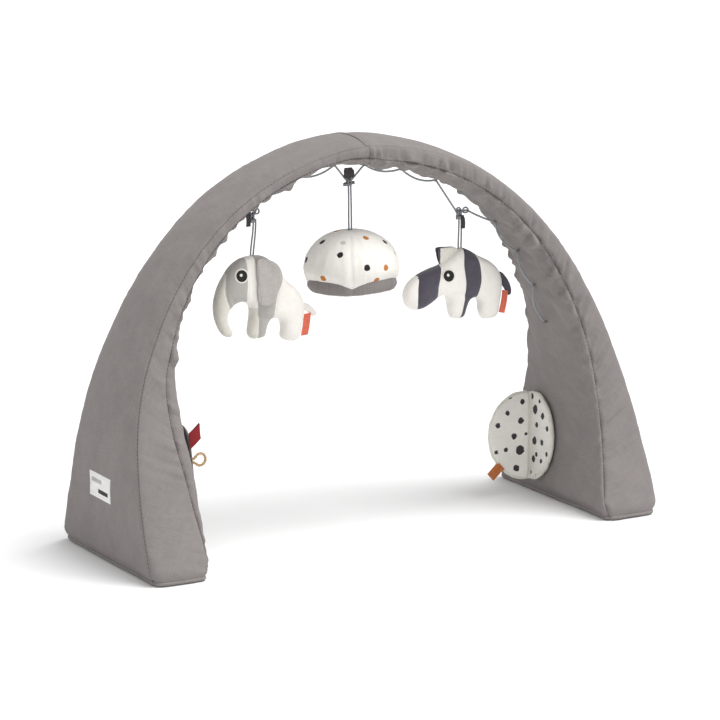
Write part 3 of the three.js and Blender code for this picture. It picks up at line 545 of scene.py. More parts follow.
class Leg:
    """Half of the arch: sections from the crown to the floor, and the padded surface round them."""

    def __init__(self, side):
        self.side = side
        t, self.run = even_stations(2.4)
        self.point, tangent = profile_at(t)
        self.inward = np.stack([tangent[:, 1], -tangent[:, 0]], axis=1)
        z = self.point[:, 1]
        self.h = h = (z - RIM_Z) / (HEIGHT - RIM_Z)
        swell = np.maximum(0, 1 - (np.abs(z - 150) / 145) ** 2) ** 2
        extra = 20 * swell if side < 0 else 0 * swell
        self.thick = 17 + 77 * (1 - h) ** 2.08 + extra
        self.depth = 135 + 208 * (1 - h) ** 2.46
        self.crown = 8.7 * np.minimum(1, h / 0.48)
        self.bulge = (9 + 6 * h) * (1 - (1 - h) ** 8)
        # How far the inner panel wraps onto the front, and how high its edges roll.
        if side < 0:
            wrap = np.interp(z, [0, 60, 110, 150, 200, 250, 330, 567], [0, 1, 7, 10, 11, 8, 4, 2])
            front_roll = np.interp(z, [20, 60, 120, 200, 260, 310, 370, 430, 567], [0, 4, 7, 8, 10, 7, 0, -4, -3])
            back_roll = np.interp(z, [20, 260, 430, 567], [0, 6, -2, -2])
            self.bulge *= np.interp(z, [300, 420], [1.0, 0.72])
        else:
            wrap = np.interp(z, [0, 250, 400, 567], [3, 3, -2, -5])
            front_roll = np.interp(z, [0, 200, 330, 450, 567], [0, 0, 6, 10, 8])
            back_roll = np.interp(z, [0, 280, 360, 480, 540, 567], [0, 0, -3, -4, 2, 6])
        # At the crown both halves share one section.
        crown = step(self.run / 34)
        self.wrap = -1 + (wrap + 1) * crown
        self.front_roll = 3 + (front_roll - 3) * crown
        self.back_roll = 3 + (back_roll - 3) * crown
        self.bulge = 12.5 + (self.bulge - 12.5) * crown
        self.seam_in = np.interp(z, [0, 60, 150], [12, 6, 3])
        self.build()

    def place(self, u, y):
        """Points in millimetres from distances in from the outer seam and from front to back."""
        x = self.point[:, 0:1] + self.inward[:, 0:1] * u + 0.2
        z = self.point[:, 1:2] + self.inward[:, 1:2] * u
        return np.stack([self.side * x, y + 0 * x, z], axis=2)

    def section(self):
        """The ring round every station, outer face first, then front, inner face and back."""
        col = lambda a: a[:, None]
        half, thick, wrap = col(self.depth) / 2, col(self.thick), col(self.wrap)
        ease = lambda n: 0.6 * np.linspace(0, 1, n) + 0.4 * (0.5 - 0.5 * np.cos(np.linspace(0, math.pi, n)))
        seam_in = col(self.seam_in)
        v = ease(49)[None, :]
        edge = half - seam_in
        y = edge * (1 - 2 * v)
        outer = (-col(self.crown) * (1 - np.abs(y / edge) ** 2.5), y)
        v = ease(25)[None, :]
        u = v * (thick - wrap)
        rolled = np.sqrt(np.maximum(0, 1 - (1 - np.minimum(1, u / (6 + seam_in))) ** 2))
        puff = 3.2 * np.sin(math.pi * v) ** 0.8 * np.minimum(1, thick / 60)
        front = (u, -(half - seam_in + seam_in * rolled + puff))
        corner = 12.0
        edge_roll = lambda y: np.where(y < 0, col(self.front_roll), col(self.back_roll)) * np.exp(-(((half - 22 - np.abs(y)) / 15) ** 2))
        inner_at = lambda y: thick + col(self.bulge) * (1 - np.abs(y / half) ** 3) + edge_roll(y)
        angle = np.linspace(0, math.pi / 2, 10)[None, :]
        turn_at = lambda end: (thick - wrap + (inner_at(end * (half - corner)) - thick + wrap) * np.sin(angle),
                               end * (half - corner * (1 - np.cos(angle))))
        turn = turn_at(-1)
        y = (half - corner) * np.linspace(-1, 1, 41)[None, 1:-1]
        middle = (inner_at(y), y)
        whole = lambda parts, k: np.concatenate([np.broadcast_to(p[k], (len(self.run), p[k].shape[1])) for p in parts], axis=1)
        back_turn = tuple(part[:, ::-1] for part in turn_at(1))
        back = (front[0][:, ::-1], -front[1][:, ::-1])
        parts = [outer, (front[0][:, 1:], front[1][:, 1:]), (turn[0][:, 1:], turn[1][:, 1:]), middle,
                 back_turn, (back[0][:, 1:-1], back[1][:, 1:-1])]
        ends = np.cumsum([0, 48, 24, 9 + 39 + 10])
        self.seams = [int(e) for e in ends]
        return whole(parts, 0), whole(parts, 1)

    def build(self):
        u, y = self.section()
        col = lambda a: a[:, None]
        up = self.point[:, 1:2] - RIM_Z + 0 * u
        share = np.clip(u / col(self.thick), 0, 1)
        nip = lambda amount, height: amount * np.clip(1 - up / height, 0, 1) ** 2
        bow = np.exp(-(((self.point[:, 1:2] - 225) / 110) ** 2))
        swell = 3.5 * step((260 - self.point[:, 1:2]) / 200) + 2.0 * bow if self.side > 0 else 5.5 * bow
        u = u + (nip(7, 16) - swell) * (1 - share) - nip(12, 30) * share
        y = y * (1 - nip(6, 18) / col(self.depth / 2))
        self.surface = self.place(u, y)
        self.surface[-1, :, 2] = WALL_Z
        ring = np.concatenate([self.surface, self.surface[:, :1]], axis=1)
        lengths = np.linalg.norm(np.diff(ring, axis=1), axis=2)
        across = np.concatenate([np.zeros((len(ring), 1)), np.cumsum(lengths, axis=1)], axis=1)
        self.girth, self.across = across[:, -1], across[:, :-1]
        rows = np.linalg.norm(np.diff(self.surface, axis=0), axis=2)
        self.down = np.concatenate([np.zeros((1, rows.shape[1])), np.cumsum(rows, axis=0)], axis=0)
        along = np.gradient(self.surface, axis=0)
        around = (np.roll(self.surface, -1, axis=1) - np.roll(self.surface, 1, axis=1))
        normal = unit(np.cross(along, around))
        centre = self.surface.mean(axis=1, keepdims=True)
        if ((normal * (self.surface - centre)).sum(axis=2)).mean() < 0:
            normal = -normal
        self.normal = normal
        self.surface = self.surface + normal * self.relief()[:, :, None]

    def seam_distance(self, seam):
        s = self.across[:, self.seams[seam]][:, None]
        away = np.abs(self.across - s)
        return np.minimum(away, self.girth[:, None] - away)

    def relief(self):
        """Height of the cloth over the smooth shape: seams, puckers, wrinkles and gathers."""
        n = 10 if self.side > 0 else 40
        down, across, h = self.down, self.across, self.h[:, None]
        relief = 0.5 * rough(across / 55, down / 55, n + 1)
        calm = 1.0
        for seam in range(4):
            away = self.seam_distance(seam)
            run = down[:, self.seams[seam]][:, None] + 0 * away
            inner = seam >= 2
            relief -= (2.6 if inner else 1.7) * np.exp(-((away / (2.1 if inner else 1.7)) ** 2)) + 0.5 * np.exp(-away / 5)
            most = {0: 0.0, 1: 0.0, 2: 2.1 if self.side > 0 else 1.2, 3: 0.8}[seam]
            height = most + (1.2 if self.side > 0 and seam == 2 else 0.5) * step((h - 0.35) / 0.3) if inner else 0.45
            pucker = rough(run / (6.6 if inner else 7.5) + 0.04 * away, away / 30, n + 5 + seam, 2)
            relief += height * pucker * np.exp(-away / (15 if inner else 8)) * (1 - np.exp(-((away / 2.2) ** 2)))
            calm = calm * (1 - np.exp(-((away / 3.0) ** 2)))
        front = (np.arange(across.shape[1]) >= self.seams[1]) & (np.arange(across.shape[1]) <= self.seams[2])
        inner_seam = self.seam_distance(2)
        fan = ripple(down / 9.5 + 0.4 * ripple(across / 40, down / 60, 3), across / 90, n + 11)
        fan = fan + 0.35 * ripple(down / 4.6, across / 40, n + 12)
        strength = (6.0 if self.side > 0 else 1.9) * np.clip(1 - inner_seam / (np.maximum(24, self.thick[:, None]) * 1.02), 0, 1) ** 0.85
        strength = strength * (0.4 + 0.6 * step((h - 0.12) / 0.3))
        relief += np.where(front[None, :], fan * strength * calm, 0)
        inner = (np.arange(across.shape[1]) >= self.seams[2]) & (np.arange(across.shape[1]) <= self.seams[3])
        edge = np.minimum(self.seam_distance(2), self.seam_distance(3))
        gather = ripple(down / 9.5 + 0.5 * ripple(across / 45, down / 40, 5), across / 95, n + 17)
        gather = np.abs(gather) ** 0.8 * np.sign(gather)
        amount = (0.9 + 4.2 * step((h - 0.3) / 0.4)) * np.exp(-edge / 45)
        relief += np.where(inner[None, :], gather * amount * calm, 0)
        sag = 0.9 + 2.2 * step((h - 0.45) / 0.3)
        relief += np.where(inner[None, :], sag * rough(down / 26, across / 40, n + 23, 2) * calm, 0)
        # Between the tacks of the lacing the inner cloth hangs in loose billows.
        billow = np.sin(math.pi * (down - LACE_MIDDLE / 2) / (LACE_PITCH / 2) + 0.5 * ripple(down / 40, across / 60, n + 31)) ** 2
        billow = (billow - 0.5) * np.exp(-edge / 38) * step((h - 0.42) / 0.25) * step((down - 20) / 40)
        relief += np.where(inner[None, :], (4.6 if self.side > 0 else 3.2) * billow * calm, 0)
        outer = np.arange(across.shape[1]) <= self.seams[1]
        relief += np.where(outer[None, :], 0.55 * rough(down / 48, across / 80, n + 29, 3) * calm, 0)
        relief -= 0.7 * np.exp(-((down / 2.4) ** 2))
        return relief

    def panel(self, first, last):
        columns = [c % self.surface.shape[1] for c in range(first, last + 1)]
        top, normal = self.surface[:, columns], self.normal[:, columns]
        weave = np.stack([self.across[:, columns], self.down[:, columns], 0 * self.down[:, columns]], axis=2)
        if columns[-1] == 0:
            weave[:, -1, 0] = self.girth
        return top, normal, weave

    def add_panels(self, name):
        count = self.surface.shape[1]
        spans = {"outer": (0, self.seams[1]), "front": (self.seams[1], self.seams[2]),
                 "inner": (self.seams[2], self.seams[3]), "back": (self.seams[3], count)}
        for part, (first, last) in spans.items():
            top, normal, weave = self.panel(first, last)
            points, faces = shell(top, top - normal * CLOTH)
            weave = np.concatenate([weave.reshape(-1, 3)] * 2)
            piece = new_piece(f"{name}_{part}_cover", points, faces, COVER, "arch", weave=weave)
            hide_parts(f"{name}_{part}_panel")
            if part == "inner":
                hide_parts(f"{name}_foam_core")
        self.add_base(name)
        threads = Threads()
        for seam in range(4):
            column = self.seams[seam] % count
            path, offcloth = self.surface[4:-2, column], self.normal[4:-2, column] * 0.35
            threads.along(path, offcloth, 3.2, 2.2, 0.4)
        threads.finish(f"{name}_seam_stitches", COVER_THREAD, "arch")

    def add_base(self, name):
        """The rounded base of the foot, from the rim seam down to its flat underside."""
        ring = self.surface[-1]
        centre = np.array([ring[:, 0].mean(), 0.0, 0.0])
        out = unit((ring - centre) * [1, 1, 0])
        levels = [(WALL_Z + 0.2, -1.8), (WALL_Z, -0.6), (6.2, 0.9), (4.4, 1.6), (2.6, 1.0), (1.3, -0.8), (0.9, -5)]
        points = [ring * [1, 1, 0] + out * grow + [0, 0, z] for z, grow in levels]
        rows, columns = len(points), len(ring)
        points = np.concatenate(points)
        faces = grid_faces(rows, columns, close_columns=True)
        faces.append(tuple(range(columns)))
        faces.append(tuple((rows - 1) * columns + j for j in reversed(range(columns))))
        piece = new_piece(f"{name}_base_cover", points, outwards(points, faces), COVER, "arch", weave=points)
        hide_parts(f"{name}_base_panel")


LEGS = {"left": Leg(-1), "right": Leg(1)}
for leg_name, leg in LEGS.items():
    leg.add_panels(leg_name)


def add_crown_seam():
    """The felled seam where the two halves of the cover meet, on the outer face."""
    leg = LEGS["right"]
    columns = range(1, leg.seams[1])
    ridge = np.array([leg.surface[0, c] for c in columns])
    half, lift = 3.6, 0.0
    across = np.linspace(-1, 1, 9)
    y = ridge[:, 1]
    profile = 1 - np.abs(across) ** 4
    top = np.array([[(x * half, y[k], ridge[k][2] + 1.5 + lift * p + 0.25 * math.sin(k * 1.9)) for x, p in zip(across, profile)]
                    for k in range(len(ridge))])
    points, faces = shell(top, top - [0, 0, 1.6])
    piece = new_piece("crown_seam_strip", points, faces, COVER, "arch", weave=points)
    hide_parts("crown_seam_binding")
    threads = Threads()
    for x in (-3.0, 3.0):
        path = np.array([[x * 0.8, p[1], p[2] + 1.4] for p in ridge])
        threads.along(path, np.zeros_like(path), 2.6, 1.4, 0.35)
    threads.finish("crown_seam_stitches", TACK_THREAD, "arch")


add_crown_seam()

# ---------- the lacing ----------

HANGERS = {
    "elephant": {"arc": -3, "point": np.array([-156.0, 0.0, 474.0]), "top": 417.0},
    "dome": {"arc": 0, "point": np.array([-2.0, 0.0, 509.0]), "top": 439.0},
    "tapir": {"arc": 3, "point": np.array([173.0, 0.0, 446.0]), "top": 394.0},
}


def on_inner_face(run, off_cloth):
    """A point off the middle of the inner face at a distance from the crown; negative runs go left."""
    leg = LEGS["left" if run < 0 else "right"]
    column = (leg.seams[2] + leg.seams[3]) // 2
    line = leg.place((leg.thick + leg.bulge)[:, None], np.zeros((1, 1)))[:, 0]
    runs = np.concatenate([[0], np.cumsum(np.linalg.norm(np.diff(line, axis=0), axis=1))])
    at = lambda values: np.array([np.interp(abs(run), runs, values[:, k]) for k in range(3)])
    return at(line) + unit(at(leg.normal[:, column])) * off_cloth


def lacing_path():
    """The braid's middle line, and the places where it is tacked to the cloth."""
    points, tacks = [], []
    half = LACE_MIDDLE / 2
    start_from = None  # set where the cord leaves a hitch for the next tack but one
    for k in range(-LACE_ARCS, LACE_ARCS + 1):
        start = -half if k == 0 else math.copysign(half, k) + (k - 1 if k > 0 else k) * LACE_PITCH
        end = half if k == 0 else start + LACE_PITCH
        first, last = on_inner_face(start, LACE_CLEAR), on_inner_face(end, LACE_CLEAR)
        if start_from is not None:
            first, start_from = start_from, None
        else:
            tacks.append(start)
        hanger = next((h for h in HANGERS.values() if h["arc"] == k), None)
        if hanger:
            left, right = hanger["point"] - [3.2, 0, 0], hanger["point"] + [3.2, 0, 0]
            for f in np.linspace(0, 1, 12, endpoint=False):
                points.append(first + (left - first) * f)
            points += [left, hanger["point"] - [0, 0, 0.5], right]
            if k == 3:
                start_from = right + [9.0, 0, 2.2]
                continue
            for f in np.linspace(0, 1, 13)[1:-1]:
                points.append(right + (last - right) * f)
            continue
        for f in np.linspace(0, 1, 16, endpoint=False):
            off = unit(on_inner_face(start + (end - start) * f, 1) - on_inner_face(start + (end - start) * f, 0))
            sway = np.array([0, 1, 0]) * 2.2 * math.sin(math.pi * f) * (1 if k % 2 else -1)
            drop = LACE_DROP * (0.2 if k == 4 else 1.0)
            points.append(first + (last - first) * f + off * drop * 4 * f * (1 - f) + sway)
    points.append(on_inner_face(end, LACE_CLEAR))
    tacks.append(end)
    return points, tacks


def add_lacing():
    points, tacks = lacing_path()
    path = resample(curved(points, steps=4), 2.2)
    for _ in range(2):
        path[1:-1] = (path[:-2] + 2 * path[1:-1] + path[2:]) / 4
    pts, faces, weave = tube_mesh(path, LACE_RADIUS, 12, twist=0.0)
    piece = new_piece("lacing_braid", pts, faces, LACE, "arch", weave=weave)
    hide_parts("attachment_cord")
    loops = Threads()
    for run in tacks:
        base, tip = on_inner_face(run, -1.5), on_inner_face(run, LACE_CLEAR)
        off = unit(tip - base)
        along = unit(on_inner_face(run + 3, 0) - on_inner_face(run - 3, 0))
        across = np.cross(off, along)
        for shift in (-0.9, 0.9):
            ring = []
            for angle in np.linspace(-0.35 * math.pi, 1.35 * math.pi, 15):
                reach = LACE_RADIUS + 0.75
                ring.append(tip + along * shift + across * reach * math.cos(angle) + off * reach * math.sin(angle))
            ring = [base + along * shift + across * 1.4] + ring + [base + along * shift - across * 1.4]
            mesh, faces, _ = tube_mesh(resample(curved(ring, steps=4), 1.0), 0.5, 8)
            start = len(loops.points)
            loops.points += list(mesh)
            loops.faces += [tuple(i + start for i in f) for f in faces]
    loops.finish("lacing_tacks", TACK_THREAD, "arch")


add_lacing()

# ---------- the toys' hangers ----------

STRAND_RADIUS, STRAND_SPREAD = 1.25, 3.7


# How far each doubled cord leans: sideways shift at its top and at its bottom.
LEANS = {"elephant": (4.2, -2.4), "dome": (0.8, -0.4), "tapir": (1.6, -0.6)}


def add_hanger(name, tail, tail_at, bow, rings=(), bar=3.9):
    """A cow hitch round the lacing, its dark ribbon end, and the two strands that carry the toy."""
    hanger = HANGERS[name]
    x, _, z = hanger["point"]
    bottom = hanger["top"] - 10.0
    top = z - 5.4
    for side in (-1, 1):
        line = []
        for f in np.linspace(0, 1, 25):
            height = top + (bottom - top) * f
            spread = side * (STRAND_SPREAD / 2 + bow * math.sin(math.pi * f) * (1 if side > 0 else 0.35))
            lean = LEANS[name][0] + (LEANS[name][1] - LEANS[name][0]) * step(f)
            line.append((x + spread + lean, 0.25 * side * math.sin(2 * math.pi * f), height))
        pts, faces, weave = tube_mesh(line, STRAND_RADIUS, 12)
        which = "left" if side < 0 else "right"
        strand = new_piece(f"{name}_{which}_strand", pts, faces, STRAND, None, weave=weave)
        length = float(np.linalg.norm(np.diff(np.array(line), axis=0), axis=1).sum()) * MM
        metres = [tuple(c * MM for c in p) for p in line]
        if side < 0:
            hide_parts(f"{name}_cord")
        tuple(metres[0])
        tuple(metres[0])
        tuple(metres[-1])
        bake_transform(strand)
    # The hitch: two wraps over the lacing, gathered by a bar of three turns below it.
    wire = 1.25
    coils = Threads()
    for shift in (-2.0, 2.0):
        ring = [(x + shift, 3.4 * math.cos(a), z + 0.2 + 3.6 * math.sin(a)) for a in np.linspace(-0.42 * math.pi, 1.42 * math.pi, 26)]
        ring = [(x + shift * 0.6, 1.0, z - 6.5)] + ring + [(x + shift * 0.6, -1.0, z - 6.5)]
        mesh, faces, _ = tube_mesh(resample(curved(ring, steps=3), 0.8), wire, 10)
        start = len(coils.points)
        coils.points += list(mesh)
        coils.faces += [tuple(i + start for i in f) for f in faces]
    drop = 2.6 if bar > 5 else 4.4
    turns = [((x + bar * math.cos(a)), 2.9 * math.sin(a), z - drop - 0.36 * a + 0.5 * math.sin(1.3 * a))
             for a in np.linspace(0, (3.6 if bar > 5 else 5.0) * math.pi, 90)]
    mesh, faces, _ = tube_mesh(turns, wire, 10)
    start = len(coils.points)
    coils.points += list(mesh)
    coils.faces += [tuple(i + start for i in f) for f in faces]
    for ring_x, ring_z, reach in rings:
        ring = [(x + ring_x + reach * math.cos(a), -2.0 + 0.8 * math.sin(2 * a), z + ring_z + 0.9 * reach * math.sin(a))
                for a in np.linspace(0, 2 * math.pi, 40)]
        mesh, faces, _ = tube_mesh(ring, wire, 10)
        start = len(coils.points)
        coils.points += list(mesh)
        coils.faces += [tuple(i + start for i in f) for f in faces]
    piece = coils.finish(f"{name}_hitch_wraps", STRAND, f"{name}_hitch")
    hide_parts(f"{name}_toggle")
    # The ribbon end.
    width, length = tail
    rows, columns = 22, 9
    top_grid = np.zeros((rows, columns, 3))
    for i, v in enumerate(np.linspace(0, 1, rows)):
        for j, w in enumerate(np.linspace(-0.5, 0.5, columns)):
            curl = 0.9 * math.sin(3.2 * v + 0.5) + 0.9 * (2 * w) ** 2 * (0.4 + v)
            across = width * (0.72 + 0.28 * step(v * 3))
            top_grid[i, j] = (x + tail_at[0] + across * w + 1.1 * math.sin(2.4 * v), tail_at[1] - curl, z + tail_at[2] - length * v)
    points, faces = shell(top_grid, top_grid + [0, 1.5, 0])
    piece = new_piece(f"{name}_hitch_ribbon", points, faces, TAB, f"{name}_hitch")


add_hanger("elephant", (6.5, 24.0), (-8.0, -3.6, 9.0), 0.5, [(6.4, 6.0, 4.4), (0.6, 4.6, 3.8)])
add_hanger("dome", (16.0, 15.0), (-2.4, -3.6, 19.5), 0.4, [], 8.2)
add_hanger("tapir", (6.0, 20.0), (3.4, -3.6, -4.0), 0.6, [(9.6, 2.6, 4.4), (-1.8, 3.2, 4.2)])

# ---------- stuffed toys ----------


def inside(points, loop):
    x, z = points[:, 0:1], points[:, 1:2]
    a, b = loop, np.roll(loop, -1, axis=0)
    crossing = (a[:, 1] > z) != (b[:, 1] > z)
    at = a[:, 0] + (z - a[:, 1]) * (b[:, 0] - a[:, 0]) / (b[:, 1] - a[:, 1] + 1e-12)
    return (crossing & (x < at)).sum(axis=1) % 2 == 1


def away_from(points, line, closed=False):
    """Distance of points from a polyline."""
    a = line
    b = np.roll(line, -1, axis=0) if closed else line[1:]
    a = a if closed else a[:-1]
    d = b - a
    rel = points[:, None, :] - a[None]
    t = np.clip((rel * d).sum(axis=2) / np.maximum((d * d).sum(axis=1), 1e-9), 0, 1)
    return np.linalg.norm(rel - t[:, :, None] * d, axis=2).min(axis=1)


class Plush:
    """A stuffed shape sewn from a near and a far side, with its outline in X and Z."""

    def __init__(self, outline, fullness, limit, seams=(), grooves=(), seed=0, pucker=0.5):
        self.border = resample(curved(outline, closed=True), 2.3, closed=True)
        if np.cross(self.border, np.roll(self.border, -1, axis=0)).sum() < 0:
            self.border = self.border[::-1]
        self.seams = [resample(curved(s), 2.0) for s in seams]
        self.creases = [resample(curved(s), 2.0) for s in grooves]
        self.fullness, self.limit, self.seed, self.pucker = fullness, limit, seed, pucker
        self.solve()

    def solve(self):
        low = np.floor(self.border.min(axis=0)) - 3
        high = np.ceil(self.border.max(axis=0)) + 3
        nx, nz = (high - low).astype(int) + 1
        gx, gz = np.meshgrid(low[0] + np.arange(nx), low[1] + np.arange(nz), indexing="ij")
        within = inside(np.stack([gx.ravel(), gz.ravel()], axis=1), self.border).reshape(nx, nz)
        field = np.zeros((nx, nz))
        for _ in range(2600):
            around = np.roll(field, 1, 0) + np.roll(field, -1, 0) + np.roll(field, 1, 1) + np.roll(field, -1, 1)
            field = np.where(within, (around + 2.0) / 4, 0.0)
        self.low, self.field = low, field

    def sample(self, p):
        q = np.clip(p - self.low, 0, np.array(self.field.shape) - 1.001)
        i, f = np.floor(q).astype(int), q - np.floor(q)
        at = lambda a, b: self.field[i[:, 0] + a, i[:, 1] + b]
        low = at(0, 0) * (1 - f[:, 0]) + at(1, 0) * f[:, 0]
        high = at(0, 1) * (1 - f[:, 0]) + at(1, 1) * f[:, 0]
        return low * (1 - f[:, 1]) + high * f[:, 1]

    def half(self, p, side=-1):
        """Half thickness of the stuffing at places in the outline."""
        p = np.asarray(p, float)
        away = away_from(p, self.border, closed=True)
        away = np.where(inside(p, self.border), away, 0.0)
        edge = 2.6
        centre = self.border.mean(axis=0)
        value = self.sample(p)
        near = away < edge
        if near.any():
            index = np.array([np.argmin(((self.border - q) ** 2).sum(axis=1)) for q in p[near]])
            tangent = unit(np.roll(self.border, -1, axis=0) - np.roll(self.border, 1, axis=0))
            inward = np.stack([-tangent[:, 1], tangent[:, 0]], axis=1)
            value[near] = self.sample(self.border[index] + inward[index] * edge) * away[near] / edge
        thick = self.fullness * np.tanh(np.sqrt(np.maximum(value, 0)) / self.fullness)
        for line in self.seams:
            gap = away_from(p, line)
            thick -= np.minimum(1.0, thick / 6) * (1.0 * np.exp(-((gap / 1.2) ** 2)) + 0.7 * np.exp(-gap / 5))
        for line in self.creases:
            thick -= np.minimum(1.0, thick / 6) * 2.0 * np.exp(-((away_from(p, line) / 3.5) ** 2))
        n = self.seed + (3 if side > 0 else 0)
        thick += self.pucker * rough(p[:, 0] / 17, p[:, 1] / 17, n) * step(away / 12)
        thick += 0.35 * self.pucker * ripple(p[:, 0] / 4.5, p[:, 1] / 4.5, n + 5) * np.exp(-away / 6) * step(away / 3)
        return np.clip(thick, 0, self.limit)

    def flat_mesh(self, spacing=2.3):
        """Places and triangles of one side, with rings along the border and lines along the seams."""
        border = self.border
        tangent = unit(np.roll(border, -1, axis=0) - np.roll(border, 1, axis=0))
        inward = np.stack([-tangent[:, 1], tangent[:, 0]], axis=1)
        places = [border]
        lines = self.seams
        for depth in (0.18, 0.7, 1.6, 2.9):
            ring = border + inward * depth
            keep = inside(ring, border) & (away_from(ring, border, closed=True) > depth * 0.86)
            for line in lines:
                keep &= away_from(ring, line) > 0.9
            places.append(ring[keep])
        edges = []
        count = sum(len(p) for p in places)
        for line in lines:
            keep = inside(line, border) & (away_from(line, border, closed=True) > 0.5)
            kept = line[keep]
            edges += [(count + k, count + k + 1) for k in range(len(kept) - 1)]
            count += len(kept)
            places.append(kept)
        low, high = border.min(axis=0), border.max(axis=0)
        row = spacing * math.sqrt(3) / 2
        grid = [(low[0] + (i + 0.5 * (k % 2)) * spacing, low[1] + k * row)
                for k in range(int((high[1] - low[1]) / row) + 1) for i in range(int((high[0] - low[0]) / spacing) + 1)]
        grid = np.array(grid)
        keep = inside(grid, border) & (away_from(grid, border, closed=True) > 3.9)
        for line in lines:
            keep &= away_from(grid, line) > 1.2
        places.append(grid[keep])
        places = np.concatenate(places)
        loop = list(range(len(border)))
        out = geometry.delaunay_2d_cdt([Vector(p) for p in places], edges, [loop], 1, 1e-5)
        return np.array([tuple(v) for v in out[0]]), [tuple(f) for f in out[2]]

    def body(self, name, materials, panel_of, carrier, slot, origin, mid=None):
        """The whole closed toy. panel_of gives each face's material, mid bends the shape out of its plane."""
        flat, triangles = self.flat_mesh()
        on_border = away_from(flat, self.border, closed=True) < 0.02
        points, index = [], {-1: {}, 1: {}}
        mids = mid(flat) if mid else np.zeros(len(flat))
        for side in (-1, 1):
            half = self.half(flat, side)
            for k, p in enumerate(flat):
                if on_border[k] and side > 0:
                    index[1][k] = index[-1][k]
                    continue
                index[side][k] = len(points)
                depth = 0.0 if on_border[k] else max(0.12, half[k])
                points.append((origin[0] + p[0], mids[k] + side * depth, origin[2] + p[1]))
        faces, kinds = [], []
        for f in triangles:
            middle = flat[list(f)].mean(axis=0)
            for side in (-1, 1):
                faces.append(tuple(index[side][k] for k in (f if side < 0 else reversed(f))))
                kinds.append(panel_of(middle, side))
        faces = outwards(points, faces)
        weave = np.array([(p[0], p[2], p[1]) for p in points])
        piece = new_piece(name, points, faces, materials, carrier, kinds, weave, sharp=75)
        return piece

    def patch(self, name, centre, rings, material, carrier, slot, origin, side, around=40, squash=1.0):
        """A small round piece that lies on the near or far side; rings are (radius, rise) pairs from the rim in."""
        points, faces = [], []
        for radius, rise in rings:
            ring = np.array([(centre[0] + radius * math.cos(a), centre[1] + radius * squash * math.sin(a))
                             for a in np.linspace(0, 2 * math.pi, around, endpoint=False)])
            depth = self.half(ring, side) + rise
            points += [(origin[0] + p[0], side * d, origin[2] + p[1]) for p, d in zip(ring, depth)]
        rows = len(rings)
        faces = grid_faces(rows, around, close_columns=True)
        faces.append(tuple(range(around)))
        faces.append(tuple((rows - 1) * around + j for j in reversed(range(around))))
        return new_piece(name, points, outwards(points, faces), material, carrier, weave=points)


def side_of(line, p):
    """True where a place is to the right (+X) of an up-and-down seam."""
    order = np.argsort(line[:, 1])
    return p[0] > np.interp(p[1], line[order, 1], line[order, 0])


def add_eyes(plush, name, centre, origin, radius=8.4):
    for side, where in ((-1, "near"), (1, "far")):
        white = [(radius + 2.1, -1.2), (radius + 2.1, 0.25), (radius + 1.2, 0.75), (radius - 0.4, 0.7), (radius - 0.4, -1.2)]
        rim = plush.patch(f"{name}_{where}_eye_ring", centre, white, WHITE_THREAD, name, "cream", origin, side)
        black = [(radius, -1.2), (radius, 0.8), (radius * 0.86, 1.15), (radius * 0.5, 1.35), (0.4, 1.4)]
        plush.patch(f"{name}_{where}_eye", centre, black, BLACK_THREAD, name, "charcoal", origin, side)
        spot = (centre[0] - 1.4, centre[1] + 1.4)
        glint = [(2.2, 0.4), (2.2, 1.5), (1.7, 1.75), (0.3, 1.85)]
        plush.patch(f"{name}_{where}_eye_glint", spot, glint, WHITE_THREAD, name, "cream", origin, side, 20)


def ribbon(name, grid, thick, material, carrier):
    """A cloth tag from a grid of points of its near face."""
    grid = np.asarray(grid, float)
    down = np.gradient(grid, axis=0)
    over = np.gradient(grid, axis=1)
    normal = unit(np.cross(down, over))
    points, faces = shell(grid, grid - normal * thick)
    piece = new_piece(name, points, faces, material, carrier, weave=points)
    return piece

# ---------- elephant ----------

ELEPHANT = [
    (0, 0), (-16, -2), (-32, -11), (-46, -27), (-57, -48), (-62, -70), (-59, -92), (-49, -110), (-38, -114),
    (-33.5, -109), (-39, -97), (-41, -83), (-34, -71), (-21, -64.5), (-9, -69), (-6, -82), (-9, -98), (-11, -112),
    (-6, -119), (8, -120), (16, -117), (19, -104), (23, -96), (32, -94), (40, -97), (42, -109), (40, -121),
    (46, -127), (61, -130), (69, -126), (74, -106), (78, -86), (75, -68), (64, -52), (48, -38), (35, -17), (18, -3)]
ELEPHANT_EAR = [(2, -4), (17, -5), (29, -12), (35, -25), (34, -38), (28, -52), (23, -66), (13, -71), (2, -68), (0, -36)]
ELEPHANT_TAIL = [(76, -77), (80, -77), (87, -80), (95, -88), (99, -96), (93, -98), (86, -92), (79, -87), (75, -85)]
TRUNK_SEAM = [(-41, -20), (-45, -32), (-47, -47), (-44, -62), (-37, -76)]
FOREHEAD_SEAM = [(-13, -1), (-13, -20), (-14, -40), (-15, -55), (-13, -68)]
NECK_SEAM = [(0, 0.5), (0, -20), (1, -50), (2, -80), (3, -100), (3, -121)]
SHOULDER_SEAM = [(30, -14), (32, -30), (30, -60), (27, -80), (25, -96)]
STRIPE_MIDDLE = [(-6, -1), (-6, -30), (-6.5, -64)]


def flat_ear(name, plush, outline, carrier, material, slot, origin, side, lift, seam, thick=2.4):
    """A soft double-cloth ear sewn to the body along one seam and free elsewhere."""
    ear = Plush(outline, 3.4, thick, seed=31 + side, pucker=0.25)

    def mid(p):
        body = plush.half(np.clip(p, plush.border.min(axis=0), plush.border.max(axis=0)), side)
        free = step((away_from(p, np.array(seam, float)) - 2) / 34)
        sway = 1.4 * np.sin(p[:, 1] / 11.0 + 0.8 * side) * free
        return side * (np.maximum(body, lift[0] - 4 * (1 - free)) + thick + 0.6 + lift[1] * free + sway)

    return ear.body(name, [material], lambda p, s: 0, carrier, slot, origin, mid)


